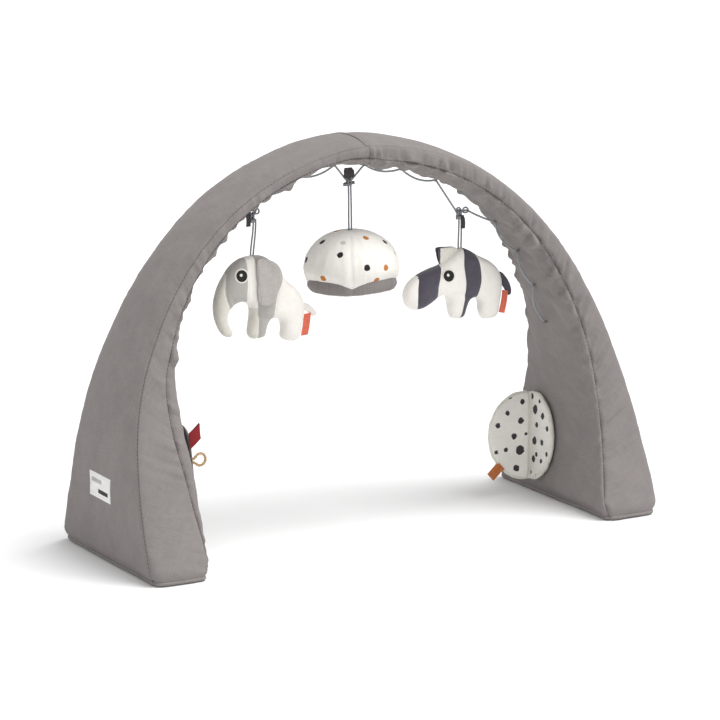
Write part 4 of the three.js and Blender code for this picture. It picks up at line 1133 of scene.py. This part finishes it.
def add_elephant():
    x, _, _ = HANGERS["elephant"]["point"]
    origin = (x + LEANS["elephant"][1], 0.0, HANGERS["elephant"]["top"])
    seams = [TRUNK_SEAM, FOREHEAD_SEAM, NECK_SEAM, SHOULDER_SEAM, STRIPE_MIDDLE]
    creases = [[(-31, -70), (-36, -60)], [(-8, -72), (2, -84), (14, -90), (24, -92)]]
    plush = Plush(ELEPHANT, 19.0, 19.6, seams, creases, seed=3, pucker=0.7)
    trunk, forehead, neck, shoulder = (resample(curved(s), 2.0) for s in seams[:4])

    def panel_of(p, side):
        # Panel 2 is cream painted darker, as painted shade on the trunk and front leg.
        if not side_of(trunk, p) or (p[0] < -36 and p[1] < -76):
            return 2
        if not side_of(forehead, p) and p[1] > -72:
            return 1
        if not side_of(neck, p):
            return 2 if p[1] < -74 else 0
        return 1 if not side_of(shoulder, p) and p[1] > -97 else 0 if side_of(shoulder, p) else 1

    piece = plush.body("elephant_body", [CREAM, GREY, PAINTED_SHADE_CREAM], panel_of, "elephant", "grey", origin)
    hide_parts(*[f"elephant_{n}" for n in ("trunk", "head", "neck_stripe", "shoulder", "rump")])
    add_eyes(plush, "elephant", (-23.0, -25.0), origin)
    for side, where in ((-1, "near"), (1, "far")):
        seam = [(3, -4), (1, -36), (3, -68)]
        ear = flat_ear(f"elephant_{where}_ear_cloth", plush, ELEPHANT_EAR, "elephant", GREY_EAR, "grey", origin, side,
                       (17.5, 4.5), seam)
        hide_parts(f"elephant_{where}_ear")
    tail = Plush(ELEPHANT_TAIL, 3.0, 2.2, seed=5, pucker=0.2)
    piece = tail.body("elephant_tail_cloth", [CREAM], lambda p, s: 0, "elephant", "cream", origin)
    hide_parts("elephant_tail")
    grid = [[(origin[0] + 77.5 + 11.0 * w - 6.4 * v * (1 - w) - 7.0 * v * w,
              -3.4 - 1.8 * math.sin(2.6 * v) - 1.2 * w * v, origin[2] - 92.5 - 31 * v + 0.8 * w)
             for w in np.linspace(0, 1, 11)] for v in np.linspace(0, 1, 27)]
    piece = ribbon("elephant_ribbon", grid, 1.2, CORAL, "elephant")
    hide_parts("elephant_ribbon_tag")


# ---------- striped animal ----------

TAPIR = [
    (0, 0), (-11, -6), (-22, -14), (-34, -21.5), (-52, -26.5), (-70, -33), (-85, -43), (-93, -57), (-92, -73),
    (-82, -82.5), (-66, -83), (-52, -77), (-37, -68), (-28, -67.5), (-23, -76), (-22, -90), (-18.5, -101.5), (-5, -104),
    (3, -101), (7.5, -87), (12, -77), (22, -76), (27.5, -82), (27.5, -96), (32, -107.5), (46, -109.5), (56.5, -105.5),
    (61.5, -84), (65, -58),
    (60, -38), (46, -24), (28, -14), (12, -4)]
TAPIR_EAR = [(-37, 2.4), (-30, 3.4), (-22, 3), (-8, 1.4), (-5, -3.6), (-9, -11), (-20, -16), (-31, -23), (-35, -16), (-36.4, -6)]
TAPIR_TAIL = [(60, -42), (66.8, -43), (72, -48), (79, -59), (82.5, -71), (81, -78), (76, -78), (71, -68), (64, -58), (60, -52)]
SNOUT_SEAM = [(-72, -38), (-75, -52), (-76, -70), (-73, -89)]
MASK_SEAM = [(-35, -21), (-39, -36), (-43, -52), (-43, -66), (-41, -72)]
SADDLE_SEAM = [(3, 0), (-1, -22), (1, -50), (-1, -78), (-5, -105)]
RUMP_SEAM = [(20, -8), (25, -24), (26, -50), (19, -77)]


def add_tapir():
    x, _, _ = HANGERS["tapir"]["point"]
    origin = (x, 0.0, HANGERS["tapir"]["top"])
    seams = [SNOUT_SEAM, MASK_SEAM, SADDLE_SEAM, RUMP_SEAM]
    plush = Plush(TAPIR, 19.0, 19.6, seams, [[(-24, -70), (-12, -66), (6, -70)]], seed=9, pucker=0.7)
    snout, mask, saddle, rump = (resample(curved(s), 2.0) for s in seams)

    def panel_of(p, side):
        if not side_of(snout, p):
            return 0
        if not side_of(mask, p) and p[0] < -30:
            return 1
        if not side_of(saddle, p):
            return 0
        return 0 if side_of(rump, p) else 1

    piece = plush.body("tapir_body", [CREAM, CHARCOAL], panel_of, "tapir", "cream", origin)
    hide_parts(*[f"tapir_{n}" for n in ("snout", "mask", "head", "saddle", "rump")])
    add_eyes(plush, "tapir", (-27.5, -36.5), origin, 8.2)
    for side, where in ((-1, "near"), (1, "far")):
        ear = Plush(TAPIR_EAR, 2.6, 1.7, seed=40 + side, pucker=0.2)
        # Each ear leans away from the middle towards its tip, so that the two stand apart.
        mid = lambda p, s=side: s * (2.2 + 2.4 * step((-6 - p[:, 0]) / 30) * step((p[:, 1] + 24) / 24))
        cloth = ear.body(f"tapir_{where}_ear_cloth", [CREAM_EAR, CHARCOAL],
                         lambda p, s, own=side: 0 if s == own and p[0] > -34.6 else 1, "tapir", "cream", origin, mid)
        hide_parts(f"tapir_{where}_ear")
    tail = Plush(TAPIR_TAIL, 3.2, 2.6, seed=6, pucker=0.2)
    piece = tail.body("tapir_tail_cloth", [CHARCOAL], lambda p, s: 0, "tapir", "charcoal", origin)
    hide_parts("tapir_tail")
    near_edge = curved([(66.4, -69), (63.6, -82), (58.8, -100)], steps=12)
    grid = []
    for k, p in enumerate(near_edge):
        v = k / (len(near_edge) - 1)
        grid.append([(origin[0] + p[0] + 9.0 * w, -3.8 - 1.6 * math.sin(2.5 * v) - 0.8 * w * v, origin[2] + p[1] - 2.0 * w - 1.5 * v)
                     for w in np.linspace(0, 1, 9)])
    piece = ribbon("tapir_ribbon", grid, 1.2, CORAL, "tapir")
    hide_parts("tapir_ribbon_tag")


add_elephant()
add_tapir()

# ---------- dotted dome ----------

DOME = {"radius": 69.0, "rim": 64.0, "shoulder": -54.0, "base": -80.0, "band": -91.0, "bottom": -97.0}
BLACK_SPOT, OCHRE_SPOT, PALE_SPOT = linear(0x1e1c1d), linear(0xb87433), linear(0xc4c2be)
# Spots in millimetres from the middle of the dome's top.
BLACK_SPOTS = [(-45.9, -1, -13.7), (-65.2, 13.6, -39.9), (-38.9, -45, -26.8), (-7.9, -67.6, -45.5), (38.2, -33.8, -17.6),
               (62, 20, -30), (20, 52, -20), (-30, 58, -40), (50, 46, -62), (5, 66, -56), (-52, 40, -66), (66, -14, -58)]
OCHRE_SPOTS = [(-16.8, 9.2, -2.1), (7.1, -36, -8.3), (-60.3, -31.1, -61.3), (23.6, -64.5, -49.2), (8.5, -65.1, -66.4),
               (44, 20, -14), (-8, 40, -9), (30, 60, -44), (-60, 22, -22), (-20, 62, -64), (64, 8, -70)]
PALE_SPOTS = [(-28.2, -33.5, -12.3), (52, -40, -34), (12, 20, -3), (-44, 50, -22), (58, 34, -48)]


def add_dome():
    x, _, _ = HANGERS["dome"]["point"]
    top = HANGERS["dome"]["top"]
    around, rows = 144, 56
    cloth = woven("dotted_dome_cloth", 0xf1eee8, 0.0008, contrast=0.08, slub=0.04, mapped=False)
    groups = [(colour, [((x + p[0]) * MM, p[1] * MM, (top + p[2]) * MM, radius * MM) for p in places])
              for colour, places, radius in ((BLACK_SPOT, BLACK_SPOTS, 4.7), (OCHRE_SPOT, OCHRE_SPOTS, 4.6),
                                             (PALE_SPOT, PALE_SPOTS, 4.0))]
    socket = cloth.surface.inputs["Base Color"].links[0].from_socket
    cloth.colour(spots(cloth, cloth.coords(), socket, groups))

    def profile(v):
        """Radius and height from the middle of the top, v = 0, to the rim, v = 1."""
        angle = (math.pi / 2) * (1 - v * 1.25)
        height = DOME["shoulder"] + math.sin(angle) * 40 if angle < 0 else DOME["shoulder"] * (1 - math.sin(angle))
        return DOME["radius"] * math.cos(angle), height

    gores, turned = 4, 0.284  # one seam faces the front left

    def edge_wave(angle):
        """The top's lower edge dips at each seam."""
        share = (angle / (2 * math.pi) * gores + turned) % 1.0
        return 2.4 - 10.0 * (1 - math.sin(math.pi * share)) ** 1.7

    def band_drop(angle):
        share = (angle / (2 * math.pi) * gores + turned) % 1.0
        return 16.2 + 0.9 * (1 - math.sin(math.pi * share)) + 0.4 * math.cos(3 * angle + 1.1)

    def dome_point(v, angle, lift=0.0):
        r, z = profile(v)
        gore = math.sin(math.pi * ((angle / (2 * math.pi) * gores + turned) % 1.0))
        seam = math.exp(-((gore / 0.055) ** 2))
        fall = step(v * 3.0)
        r += (0.9 * gore ** 0.5 - 0.9 - 0.9 * seam) * fall
        z -= 0.9 * seam * (1 - step(v * 1.6)) * fall + 1.6 * math.exp(-((v / 0.09) ** 2))
        wrinkle = 0.9 * float(rough(angle * 7 + 3, v * 3.0, 61)) + 0.45 * float(ripple(angle * 22, v * 4, 64)) * step(v * 1.4 - 0.4)
        r += wrinkle * fall + lift
        wave = edge_wave(angle) * step((v - 0.75) / 0.25)
        return x + r * math.cos(angle), r * math.sin(angle), top + z + wave

    angles = np.linspace(0, 2 * math.pi, around, endpoint=False)
    points = [(x, 0, top - 1.6)]
    for v in np.linspace(0, 1, rows)[1:]:
        points += [dome_point(v, a) for a in angles]
    outer_rows = rows - 1
    for v in (1.0, 0.9, 0.6, 0.3):
        points += [(p[0] - 2.5 * math.cos(a), p[1] - 2.5 * math.sin(a), p[2] - (2.5 if v < 0.9 else -0.4))
                   for p, a in ((dome_point(v, a), a) for a in angles)]
    total = outer_rows + 4
    points.append((x, 0, top - 5))
    faces = [(0, 1 + (j + 1) % around, 1 + j) for j in range(around)]
    faces += grid_faces(total, around, 1, close_columns=True)
    last = 1 + (total - 1) * around
    faces += [(last + j, last + (j + 1) % around, len(points) - 1) for j in range(around)]
    piece = new_piece("dome_dotted_top", points, outwards(points, faces), cloth, "dome", weave=points)
    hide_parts("dome_gored_top")

    threads = Threads()
    for k in range(gores):
        angle = (k - turned) / gores * 2 * math.pi
        path = [np.array(dome_point(v, angle, 0.25)) for v in np.linspace(0.06, 0.98, 60)]
        threads.along(path, np.zeros((60, 3)), 2.4, 1.6, 0.32)
    threads.finish("dome_gore_stitches", WHITE_THREAD, "dome")

    # The grey band between the top and the underside, deeper on some gores than on others.
    levels = np.linspace(0, 1, 11)
    points = []
    for v in levels:
        for a in angles:
            px, py, pz = dome_point(1.0, a)
            drop = band_drop(a) + edge_wave(a)
            belly = 1.5 * math.sin(math.pi * v) - 3.2 * v * v + 0.4 * float(ripple(a * 16, v * 2, 71))
            points.append((px + belly * math.cos(a), py + belly * math.sin(a), pz - drop * v))
    lower, upper = points[-around:], points[:around]
    points += [(p[0] * 0.9 + x * 0.1, p[1] * 0.9, p[2] + 1.5) for p in lower]
    points += [(p[0] * 0.9 + x * 0.1, p[1] * 0.9, p[2] - 0.5) for p in upper]
    faces = grid_faces(len(levels) + 2, around, close_rows=True, close_columns=True)
    piece = new_piece("dome_grey_band", points, outwards(points, faces), COVER, "dome", weave=points)
    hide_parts("dome_rim_band")

    # The white underside, gathered towards its middle.
    points = []
    falls = ((0.93, -1.6), (0.955, 0.2), (0.95, 1.0), (0.91, 1.8), (0.83, 2.4), (0.7, 2.8), (0.54, 3.0), (0.36, 3.1), (0.16, 3.0))
    for share, depth in falls:
        for a in angles:
            px, py, pz = dome_point(1.0, a)
            drop = band_drop(a) + edge_wave(a)
            r = share * (math.hypot(px - x, py) - 1.6)
            gather = 0.5 * float(ripple(a * 14, share * 4, 75)) * step((depth + 1) / 3)
            points.append((x + r * math.cos(a), r * math.sin(a), pz - drop - depth - gather))
    rows = len(falls)
    points.append((x, 0, top + DOME["base"] - 15.5))
    faces = grid_faces(rows, around, close_columns=True)
    faces += [((rows - 1) * around + j, (rows - 1) * around + (j + 1) % around, len(points) - 1) for j in range(around)]
    faces.append(tuple(range(around)))
    piece = new_piece("dome_white_underside", points, outwards(points, faces), CREAM, "dome", weave=points)
    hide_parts("dome_underside")


add_dome()

# ---------- peek-a-boo pad on the right foot ----------

PAD = {"z": 88.0, "y": 52.0, "wall": 315.4, "lean": 0.107, "tilt": 0.12}
FLAP_RADIUS, BACKING_THICK, FLAP_THICK, HINGE_OFF, FLAP_CURL = 66.0, 5.0, 7.0, 10.4, 1.2
PAD_UP = unit([PAD["lean"], 0, 1])
PAD_OFF = unit([-1, 0, PAD["lean"]])
PAD_CREASE = PAD_UP * math.cos(PAD["tilt"]) + np.array([0, 1, 0]) * math.sin(PAD["tilt"])
PAD_ASIDE = np.cross(PAD_OFF, PAD_CREASE)
PAD_ORIGIN = np.array([PAD["wall"], PAD["y"], PAD["z"]])
# Spots as (away from the crease, along it, radius).
FLAP_SPOTS = [(12.1, 50.2, 3.9), (37.4, 33.3, 3.5), (53.5, 14.7, 4.1), (14.3, 21.6, 5), (25.1, -1.7, 4.7), (38.4, -21.6, 3.7),
              (14.5, -22.2, 7.1), (20.1, -49.1, 5), (33.2, 57, 3.2), (54.7, -25, 3.2), (49.6, 47, 2.6), (5, 2, 2.6)]
BACK_SPOTS = [(14.8, 39, 7), (20.2, 16.2, 4.1), (13, -8, 6.2), (36, -9.3, 4.5), (4.7, 58, 4.5), (19, -28, 3.7),
              (10.4, -35.3, 5.2), (33.8, -37.1, 3.7), (1.8, -55.7, 3.7), (18, -59.7, 2), (32.4, -53.8, 1.8), (38, 30, 5),
              (52, 12, 4.2), (50, -26, 3.6), (28, 52, 3.4)]


def pad_place(aside, off, along):
    return PAD_ORIGIN + PAD_ASIDE * aside + PAD_OFF * off + PAD_CREASE * along


def dotted(name, places):
    cloth = woven(name, 0xf0ede7, 0.0008, contrast=0.08, slub=0.04, mapped=False)
    socket = cloth.surface.inputs["Base Color"].links[0].from_socket
    group = [(linear(0x37343a), [(a * MM, b * MM, 0.0, r * MM) for a, b, r in places])]
    where = cloth.coords("pattern")
    cloth.colour(spots(cloth, where, socket, group, 0.0009))
    return cloth


def half_disc(radius, inner=0.4):
    """Outline of half a disc: across from the straight side, and along it."""
    arc = [(radius * math.cos(a), radius * math.sin(a)) for a in np.linspace(-0.49 * math.pi, 0.49 * math.pi, 44)]
    return arc + [(inner, z) for z in np.linspace(0.995, -0.995, 21) * radius]


def add_half_pad(name, node, thick, spread, body, cloth, seed):
    """A quilted half disc. spread turns (across, depth, along) into a place."""
    shape = Plush(half_disc(FLAP_RADIUS - 1.2), thick * 1.15, thick * 0.62, seed=seed, pucker=0.45)
    flat, triangles = shape.flat_mesh(2.1)
    on_border = away_from(flat, shape.border, closed=True) < 0.02
    points, pattern, index = [], [], {-1: {}, 1: {}}
    for side in (-1, 1):
        half = shape.half(flat, side)
        for k, p in enumerate(flat):
            if on_border[k] and side > 0:
                index[1][k] = index[-1][k]
                continue
            index[side][k] = len(points)
            depth = 0.0 if on_border[k] else max(0.12, half[k])
            points.append(spread(p[0], side * depth, p[1]))
            pattern.append((p[0], p[1], 0))
    faces = [tuple(index[side][k] for k in (f if side < 0 else reversed(f))) for f in triangles for side in (-1, 1)]
    piece = new_piece(name, points, outwards(points, faces), cloth, body, weave=points, sharp=75)
    layer = piece.data.attributes.new("pattern", "FLOAT_VECTOR", "POINT")
    layer.data.foreach_set("vector", (np.array(pattern) * MM).astype(np.float32).ravel())
    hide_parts(node)
    return shape


def add_piping(name, radius, thick, spread, body):
    """Fluffy piping round the curved edge."""
    arc = np.linspace(-0.485 * math.pi, 0.485 * math.pi, 130)
    path = [spread((radius + 0.5 * float(rough(a * 9, 1, 81))) * math.cos(a), 0.3 * math.sin(a * 9),
                   (radius + 0.5 * float(rough(a * 9, 1, 81))) * math.sin(a)) for a in arc]
    radii = [thick * (0.55 + 0.45 * min(1.0, 6 * (1 - abs(a) / (0.486 * math.pi)))) * (1 + 0.1 * float(rough(a * 30, 2, 83))) for a in arc]
    points, faces, weave = tube_mesh(path, radii, 14)
    piece = new_piece(name, points, faces, PIPING, body, weave=weave)


def add_peek_pad():
    back_mid = BACKING_THICK / 2 + 0.6
    backing = lambda across, depth, along: pad_place(-across, back_mid + depth * 0.9 + 0.4 * math.sin(along / 21), along)
    flap_side = -1.0

    def flap(across, depth, along):
        # The flap stands off the wall and curls a little towards the front at its rim.
        curl = flap_side * (FLAP_CURL * (across / FLAP_RADIUS) ** 2 + 0.8 * math.sin(along / 24))
        return pad_place(depth + curl * min(1.0, across / 12), HINGE_OFF + across, along)

    add_half_pad("peek_backing_cloth", "peek_pad_backing", BACKING_THICK, backing, "arch",
                 dotted("spotted_backing_cloth", BACK_SPOTS), 91)
    add_half_pad("peek_flap_cloth", "peek_flap", FLAP_THICK, flap, "peek_flap",
                 dotted("spotted_flap_cloth", FLAP_SPOTS), 94)
    add_piping("peek_backing_piping", FLAP_RADIUS - 1.8, 3.3, lambda across, depth, along: backing(across, depth + 1.5, along), "arch")
    add_piping("peek_flap_piping", FLAP_RADIUS - 1.2, 2.7, flap, "peek_flap")
    # Cloth hinge from the backing's straight edge to the flap's.
    rows, columns = 60, 9
    grid = np.zeros((rows, columns, 3))
    for i, along in enumerate(np.linspace(-0.985, 0.985, rows) * FLAP_RADIUS):
        for j, v in enumerate(np.linspace(0, 1, columns)):
            angle = v * math.pi / 2
            aside = -3.6 * (1 - math.sin(angle))
            off = back_mid + 0.9 + (HINGE_OFF + 2.2 - back_mid - 0.9) * (1 - math.cos(angle))
            grid[i, j] = pad_place(aside + 0.25 * math.sin(along / 3.1), off, along)
    aside_normal = PAD_ASIDE * -1.0
    points, faces = shell(grid, grid + aside_normal * 1.0)
    hinge = new_piece("peek_hinge_cloth", points, faces, CREAM_EAR, None, weave=points)
    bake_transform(hinge)

    # Folded leather pull tab at the flap's rim, in a front and a back leaf.
    a = math.radians(-45)
    out = np.array([math.cos(a), math.sin(a)])
    over = np.array([-out[1], out[0]])
    reach, length, width, thick = FLAP_RADIUS - 1.5, 23.5, 13.5, 1.1
    for side, label in ((-1, "front"), (1, "back")):
        grid = np.zeros((25, 13, 3))
        for i, v in enumerate(np.linspace(0, 1, 25)):
            for j, w in enumerate(np.linspace(-0.5, 0.5, 13)):
                across, along = out * (reach + length * v) + over * (width * w)
                spread_apart = (3.6 if v < 0.18 else 0) * (1 - step(v / 0.18)) + 0.7 * (1 - step((v - 0.75) / 0.25)) + 0.15
                curl = flap_side * FLAP_CURL * (across / FLAP_RADIUS) ** 2
                grid[i, j] = pad_place(side * spread_apart + curl, HINGE_OFF + across, along)
        points, faces = shell(grid, grid + PAD_ASIDE * side * thick)
        tab = new_piece(f"peek_pull_tab_{label}", points, faces, LEATHER, "peek_flap", weave=points)
        if side < 0:
            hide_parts("peek_pull_tab")
    # A soft mirror in a sewn ring on the backing's other half.
    ring = []
    radius = 29.0
    for angle in np.linspace(0, 2 * math.pi, 97)[:-1]:
        ring.append(pad_place(34 + radius * math.cos(angle), 1.2, radius * math.sin(angle)))
    ring.append(ring[0])
    points, faces, weave = tube_mesh(ring, 1.3, 10)
    new_piece("peek_mirror_binding", points, faces, CREAM_EAR, "arch", weave=weave)


PIPING = plush("fluffy_piping", 0xe9e5db, blotch=0.12, pile=0.0011, relief=0.0009)
add_peek_pad()

# ---------- taggy patch on the left foot ----------

PATCH = {"z": 146.0, "y": -34.0, "width": 112.0, "height": 110.0, "thick": 4.0, "wall": -302.4, "lean": -0.06}


def patch_place(off, along, up):
    """A place on the patch: off its wall, along the foot and up it."""
    turn = math.atan(PATCH["lean"])
    x = off * math.cos(turn) + up * math.sin(turn)
    z = -off * math.sin(turn) + up * math.cos(turn)
    return np.array([PATCH["wall"] + x, PATCH["y"] + along, PATCH["z"] + z])


def add_patch():
    corner, rows = 16.0, 49
    w, h = PATCH["width"] / 2, PATCH["height"] / 2

    def rounded(share, angle):
        """A place on a rounded square ring."""
        c, s = math.cos(angle), math.sin(angle)
        power = 5.0
        k = (abs(c) ** power + abs(s) ** power) ** (-1 / power)
        return w * share * k * c, h * share * k * s

    around = 160
    shares = [0.0] + list(np.linspace(0.06, 0.9, 26)) + [0.93, 0.955, 0.975, 0.99, 1.0]
    points, weave = [], []
    for surface in (1, -1):
        for share in shares[1:] if surface > 0 else shares[1:-1]:
            for angle in np.linspace(0, 2 * math.pi, around, endpoint=False):
                along, up = rounded(share, angle)
                pillow = 1 - share**6
                quilt = 0.55 * abs(math.sin(math.pi * (along + up) / 26) * math.sin(math.pi * (along - up) / 26)) ** 0.5
                edge = 0.8 * math.exp(-(((share - 0.93) / 0.012) ** 2))
                rise = 0.5 + (2.5 + quilt + 0.35 * float(rough(along / 14, up / 14, 55))) * pillow - edge
                off = 2.0 + rise if surface > 0 else 0.4
                if share == 1.0:
                    off = 1.6
                points.append(patch_place(off, along, up))
                weave.append((along, up, 0))
    ring_count = (len(shares) - 1, len(shares) - 2)
    faces = grid_faces(ring_count[0], around, close_columns=True)
    back = ring_count[0] * around
    faces += grid_faces(ring_count[1], around, back, flip=True, close_columns=True)
    rim, back_rim = (ring_count[0] - 1) * around, back + (ring_count[1] - 1) * around
    for j in range(around):
        k = (j + 1) % around
        faces.append((rim + j, rim + k, back_rim + k, back_rim + j))
    points += [patch_place(5.0, 0, 0), patch_place(0.4, 0, 0)]
    weave += [(0, 0, 0)] * 2
    centre, back_centre = len(points) - 2, len(points) - 1
    for j in range(around):
        k = (j + 1) % around
        faces += [(centre, k, j), (back_centre, back + j, back + k)]
    piece = new_piece("taggy_patch_cloth", points, outwards(points, faces), COVER, "arch", weave=weave)
    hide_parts("taggy_patch")
    ring = [patch_place(1.9, *rounded(1.0, a)) for a in np.linspace(0, 2 * math.pi, 241)]
    pts, faces, weave = tube_mesh(ring, 1.3, 10)
    new_piece("taggy_patch_piping", pts, faces, SEAM_CLOTH, "arch", weave=weave)

    front = -PATCH["width"] / 2 - 0.4
    # Folded red ribbon, wider at its fold, with a paler woven bar.
    grid = []
    for v in np.linspace(0, 1, 31):
        row = []
        for u in np.linspace(-0.5, 0.5, 19):
            off = 16 * v + 1.0
            up = 36 + 13 * v + 22 * u * (1 - 0.02 * v)
            lean = 1.6 * math.sin(2.4 * v) + 1.4 * (2 * u) ** 2 * v
            row.append(patch_place(off, front - 1.2 - lean, up))
        grid.append(row)
    piece = ribbon("red_folded_tag", grid, -1.1, RED, "arch")
    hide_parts("folded_ribbon_tag")
    second = np.array(grid) + np.array([0.3, 1.6, 0.4])
    ribbon("red_folded_tag_back", second, 1.0, RED, "arch")
    bar = [[grid[i][j] + np.array([0, -0.25, 0]) for j in range(4, 15)] for i in range(12, 20)]
    mark = ribbon("red_tag_woven_bar", bar, -0.5, TAG_BAR, "arch")

    radius = 8.5
    loop = [(1.6, 2.6), (4.5, 3.0)]
    loop += [(14 + radius * math.cos(a), radius * math.sin(a)) for a in np.linspace(0.8 * math.pi, -0.8 * math.pi, 26)]
    loop += [(4.5, -3.0), (1.6, -2.6)]
    path = [patch_place(p[0], front - 1.4 - 0.9 * math.sin(p[0] / 5), 8 + p[1]) for p in resample(curved(loop, steps=6), 0.8)]
    for number, phase in enumerate((0.0, math.pi)):
        tangents, sides, ups = frames_along(path)
        strand = [np.array(p) + sides[k] * 0.95 * math.cos(k * 0.55 + phase) + ups[k] * 0.95 * math.sin(k * 0.55 + phase)
                  for k, p in enumerate(path)]
        pts, faces, weave = tube_mesh(strand, 1.3, 10)
        piece = new_piece(f"beige_loop_strand_{number + 1}", pts, faces, BEIGE, "arch", weave=weave)
        if number == 0:
            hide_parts("cord_loop")


TAG_BAR = woven("pale_red_weave", 0xb9686a, 0.0006, contrast=0.2, mapped=False)
add_patch()

# ---------- label and grips ----------


LABEL_PALE = woven("label_pale_weave", 0xb9b6b3, 0.0005, contrast=0.15, mapped=False)
LABEL_DARK = woven("label_dark_weave", 0x3a3839, 0.0005, contrast=0.2, mapped=False)


def add_label():
    """A plain woven label, stitched round."""
    leg = LEGS["left"]
    width, height, middle_y, middle_z = 77.0, 35.0, 8.0, 110.0
    rows, columns = 19, 39
    grid = np.zeros((rows, columns, 3))
    z = leg.surface[:, leg.seams[1] // 2, 2]
    outer = range(0, leg.seams[1] + 1)
    for i, v in enumerate(np.linspace(-0.5, 0.5, rows)):
        height_now = middle_z + v * height
        row = int(np.argmin(np.abs(z - height_now)))
        for j, u in enumerate(np.linspace(-0.5, 0.5, columns)):
            y = middle_y + u * width
            xs = np.interp(-y, -leg.surface[row, list(outer), 1], leg.surface[row, list(outer), 0])
            edge = min(0.5 - abs(u), 0.5 - abs(v) * 1.0)
            rise = 0.55 + 0.35 * step(edge / 0.03) + 0.12 * float(ripple(y / 9, v * 4, 12))
            grid[i, j] = (xs - rise, y, height_now)
    points, faces = shell(grid, grid + [1.0, 0, 0])
    piece = new_piece("plain_woven_label", points, faces, LABEL, "arch", weave=points)
    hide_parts("woven_label")
    threads = Threads()
    inset = 2
    for row in (inset, rows - 1 - inset):
        threads.along(grid[row, 1:-1] - [0.12, 0, 0], np.zeros((columns - 2, 3)), 2.2, 1.3, 0.22)
    for column in (inset - 1, columns - inset):
        threads.along(grid[1:-1, column] - [0.12, 0, 0], np.zeros((rows - 2, 3)), 2.2, 1.3, 0.22)
    threads.finish("label_stitches", WHITE_THREAD, "arch")
    # Two woven bars fill the label instead of lettering.
    for name, first, last, low, high, cloth in (("pale", 4, 22, 11, 14, LABEL_PALE), ("dark", 16, 34, 4, 7, LABEL_DARK)):
        bar = grid[low:high + 1, columns - 1 - last:columns - first] - [0.12, 0, 0]
        points, faces = shell(bar, bar + [0.3, 0, 0])
        new_piece(f"label_{name}_bar", points, faces, cloth, "arch", weave=points)


def add_grips():
    """Anti-slip pads under the feet, with rows of small raised dots on the sole."""
    for name, side in (("left", -1), ("right", 1)):
        for end, sign in (("front", -1), ("back", 1)):
            length, width = 60.0, 22.0
            x, y = side * 357.0, sign * 151.0
            outline = []
            for direction in (1, -1):
                for a in np.linspace(-math.pi / 2, math.pi / 2, 13):
                    outline.append((x + direction * ((length - width) / 2 + width / 2 * math.cos(a)), y + direction * width / 2 * math.sin(a)))
            outline = np.array(outline)
            middle = outline.mean(axis=0)
            points = []
            for z, share in ((2.2, 0.97), (1.8, 1.0), (0.9, 1.0), (0.35, 0.985), (0.25, 0.95)):
                for p in outline:
                    q = middle + (p - middle) * share
                    points.append((q[0], q[1], z))
            count = len(outline)
            faces = grid_faces(5, count, close_columns=True)
            faces += [tuple(range(count)), tuple(4 * count + j for j in reversed(range(count)))]
            faces = outwards(points, faces)
            for i in range(11):
                for j in range(3):
                    cx, cy = x + (i - 5) * 5.2, y + (j - 1) * 5.6
                    start = len(points)
                    for z, r in ((0.6, 1.3), (0.2, 1.2), (0.0, 0.8)):
                        points += [(cx + r * math.cos(a), cy + r * math.sin(a), z) for a in np.linspace(0, 2 * math.pi, 8, endpoint=False)]
                    dot = grid_faces(3, 8, start, close_columns=True, flip=True)
                    dot += [tuple(start + k for k in reversed(range(8))), tuple(start + 16 + k for k in range(8))]
                    faces += dot
            piece = new_piece(f"{name}_{end}_grip", points, faces, RUBBER, "arch", weave=points)
            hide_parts(f"{name}_{end}_anti_slip_pad")


add_label()
add_grips()

# ---------- looks of the CAD pieces that stay ----------


def repaint(node, shader):
    mesh_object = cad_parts[node]
    for slot in mesh_object.material_slots:
        slot.material = shader.material


for toy in HANGERS:
    repaint(f"{toy}_cord_knot", KNOT)
for node in ("elephant_rattle", "dome_bell_capsule", "tapir_squeaker"):
    repaint(node, CAPSULE)
repaint("peek_mirror", MIRROR)
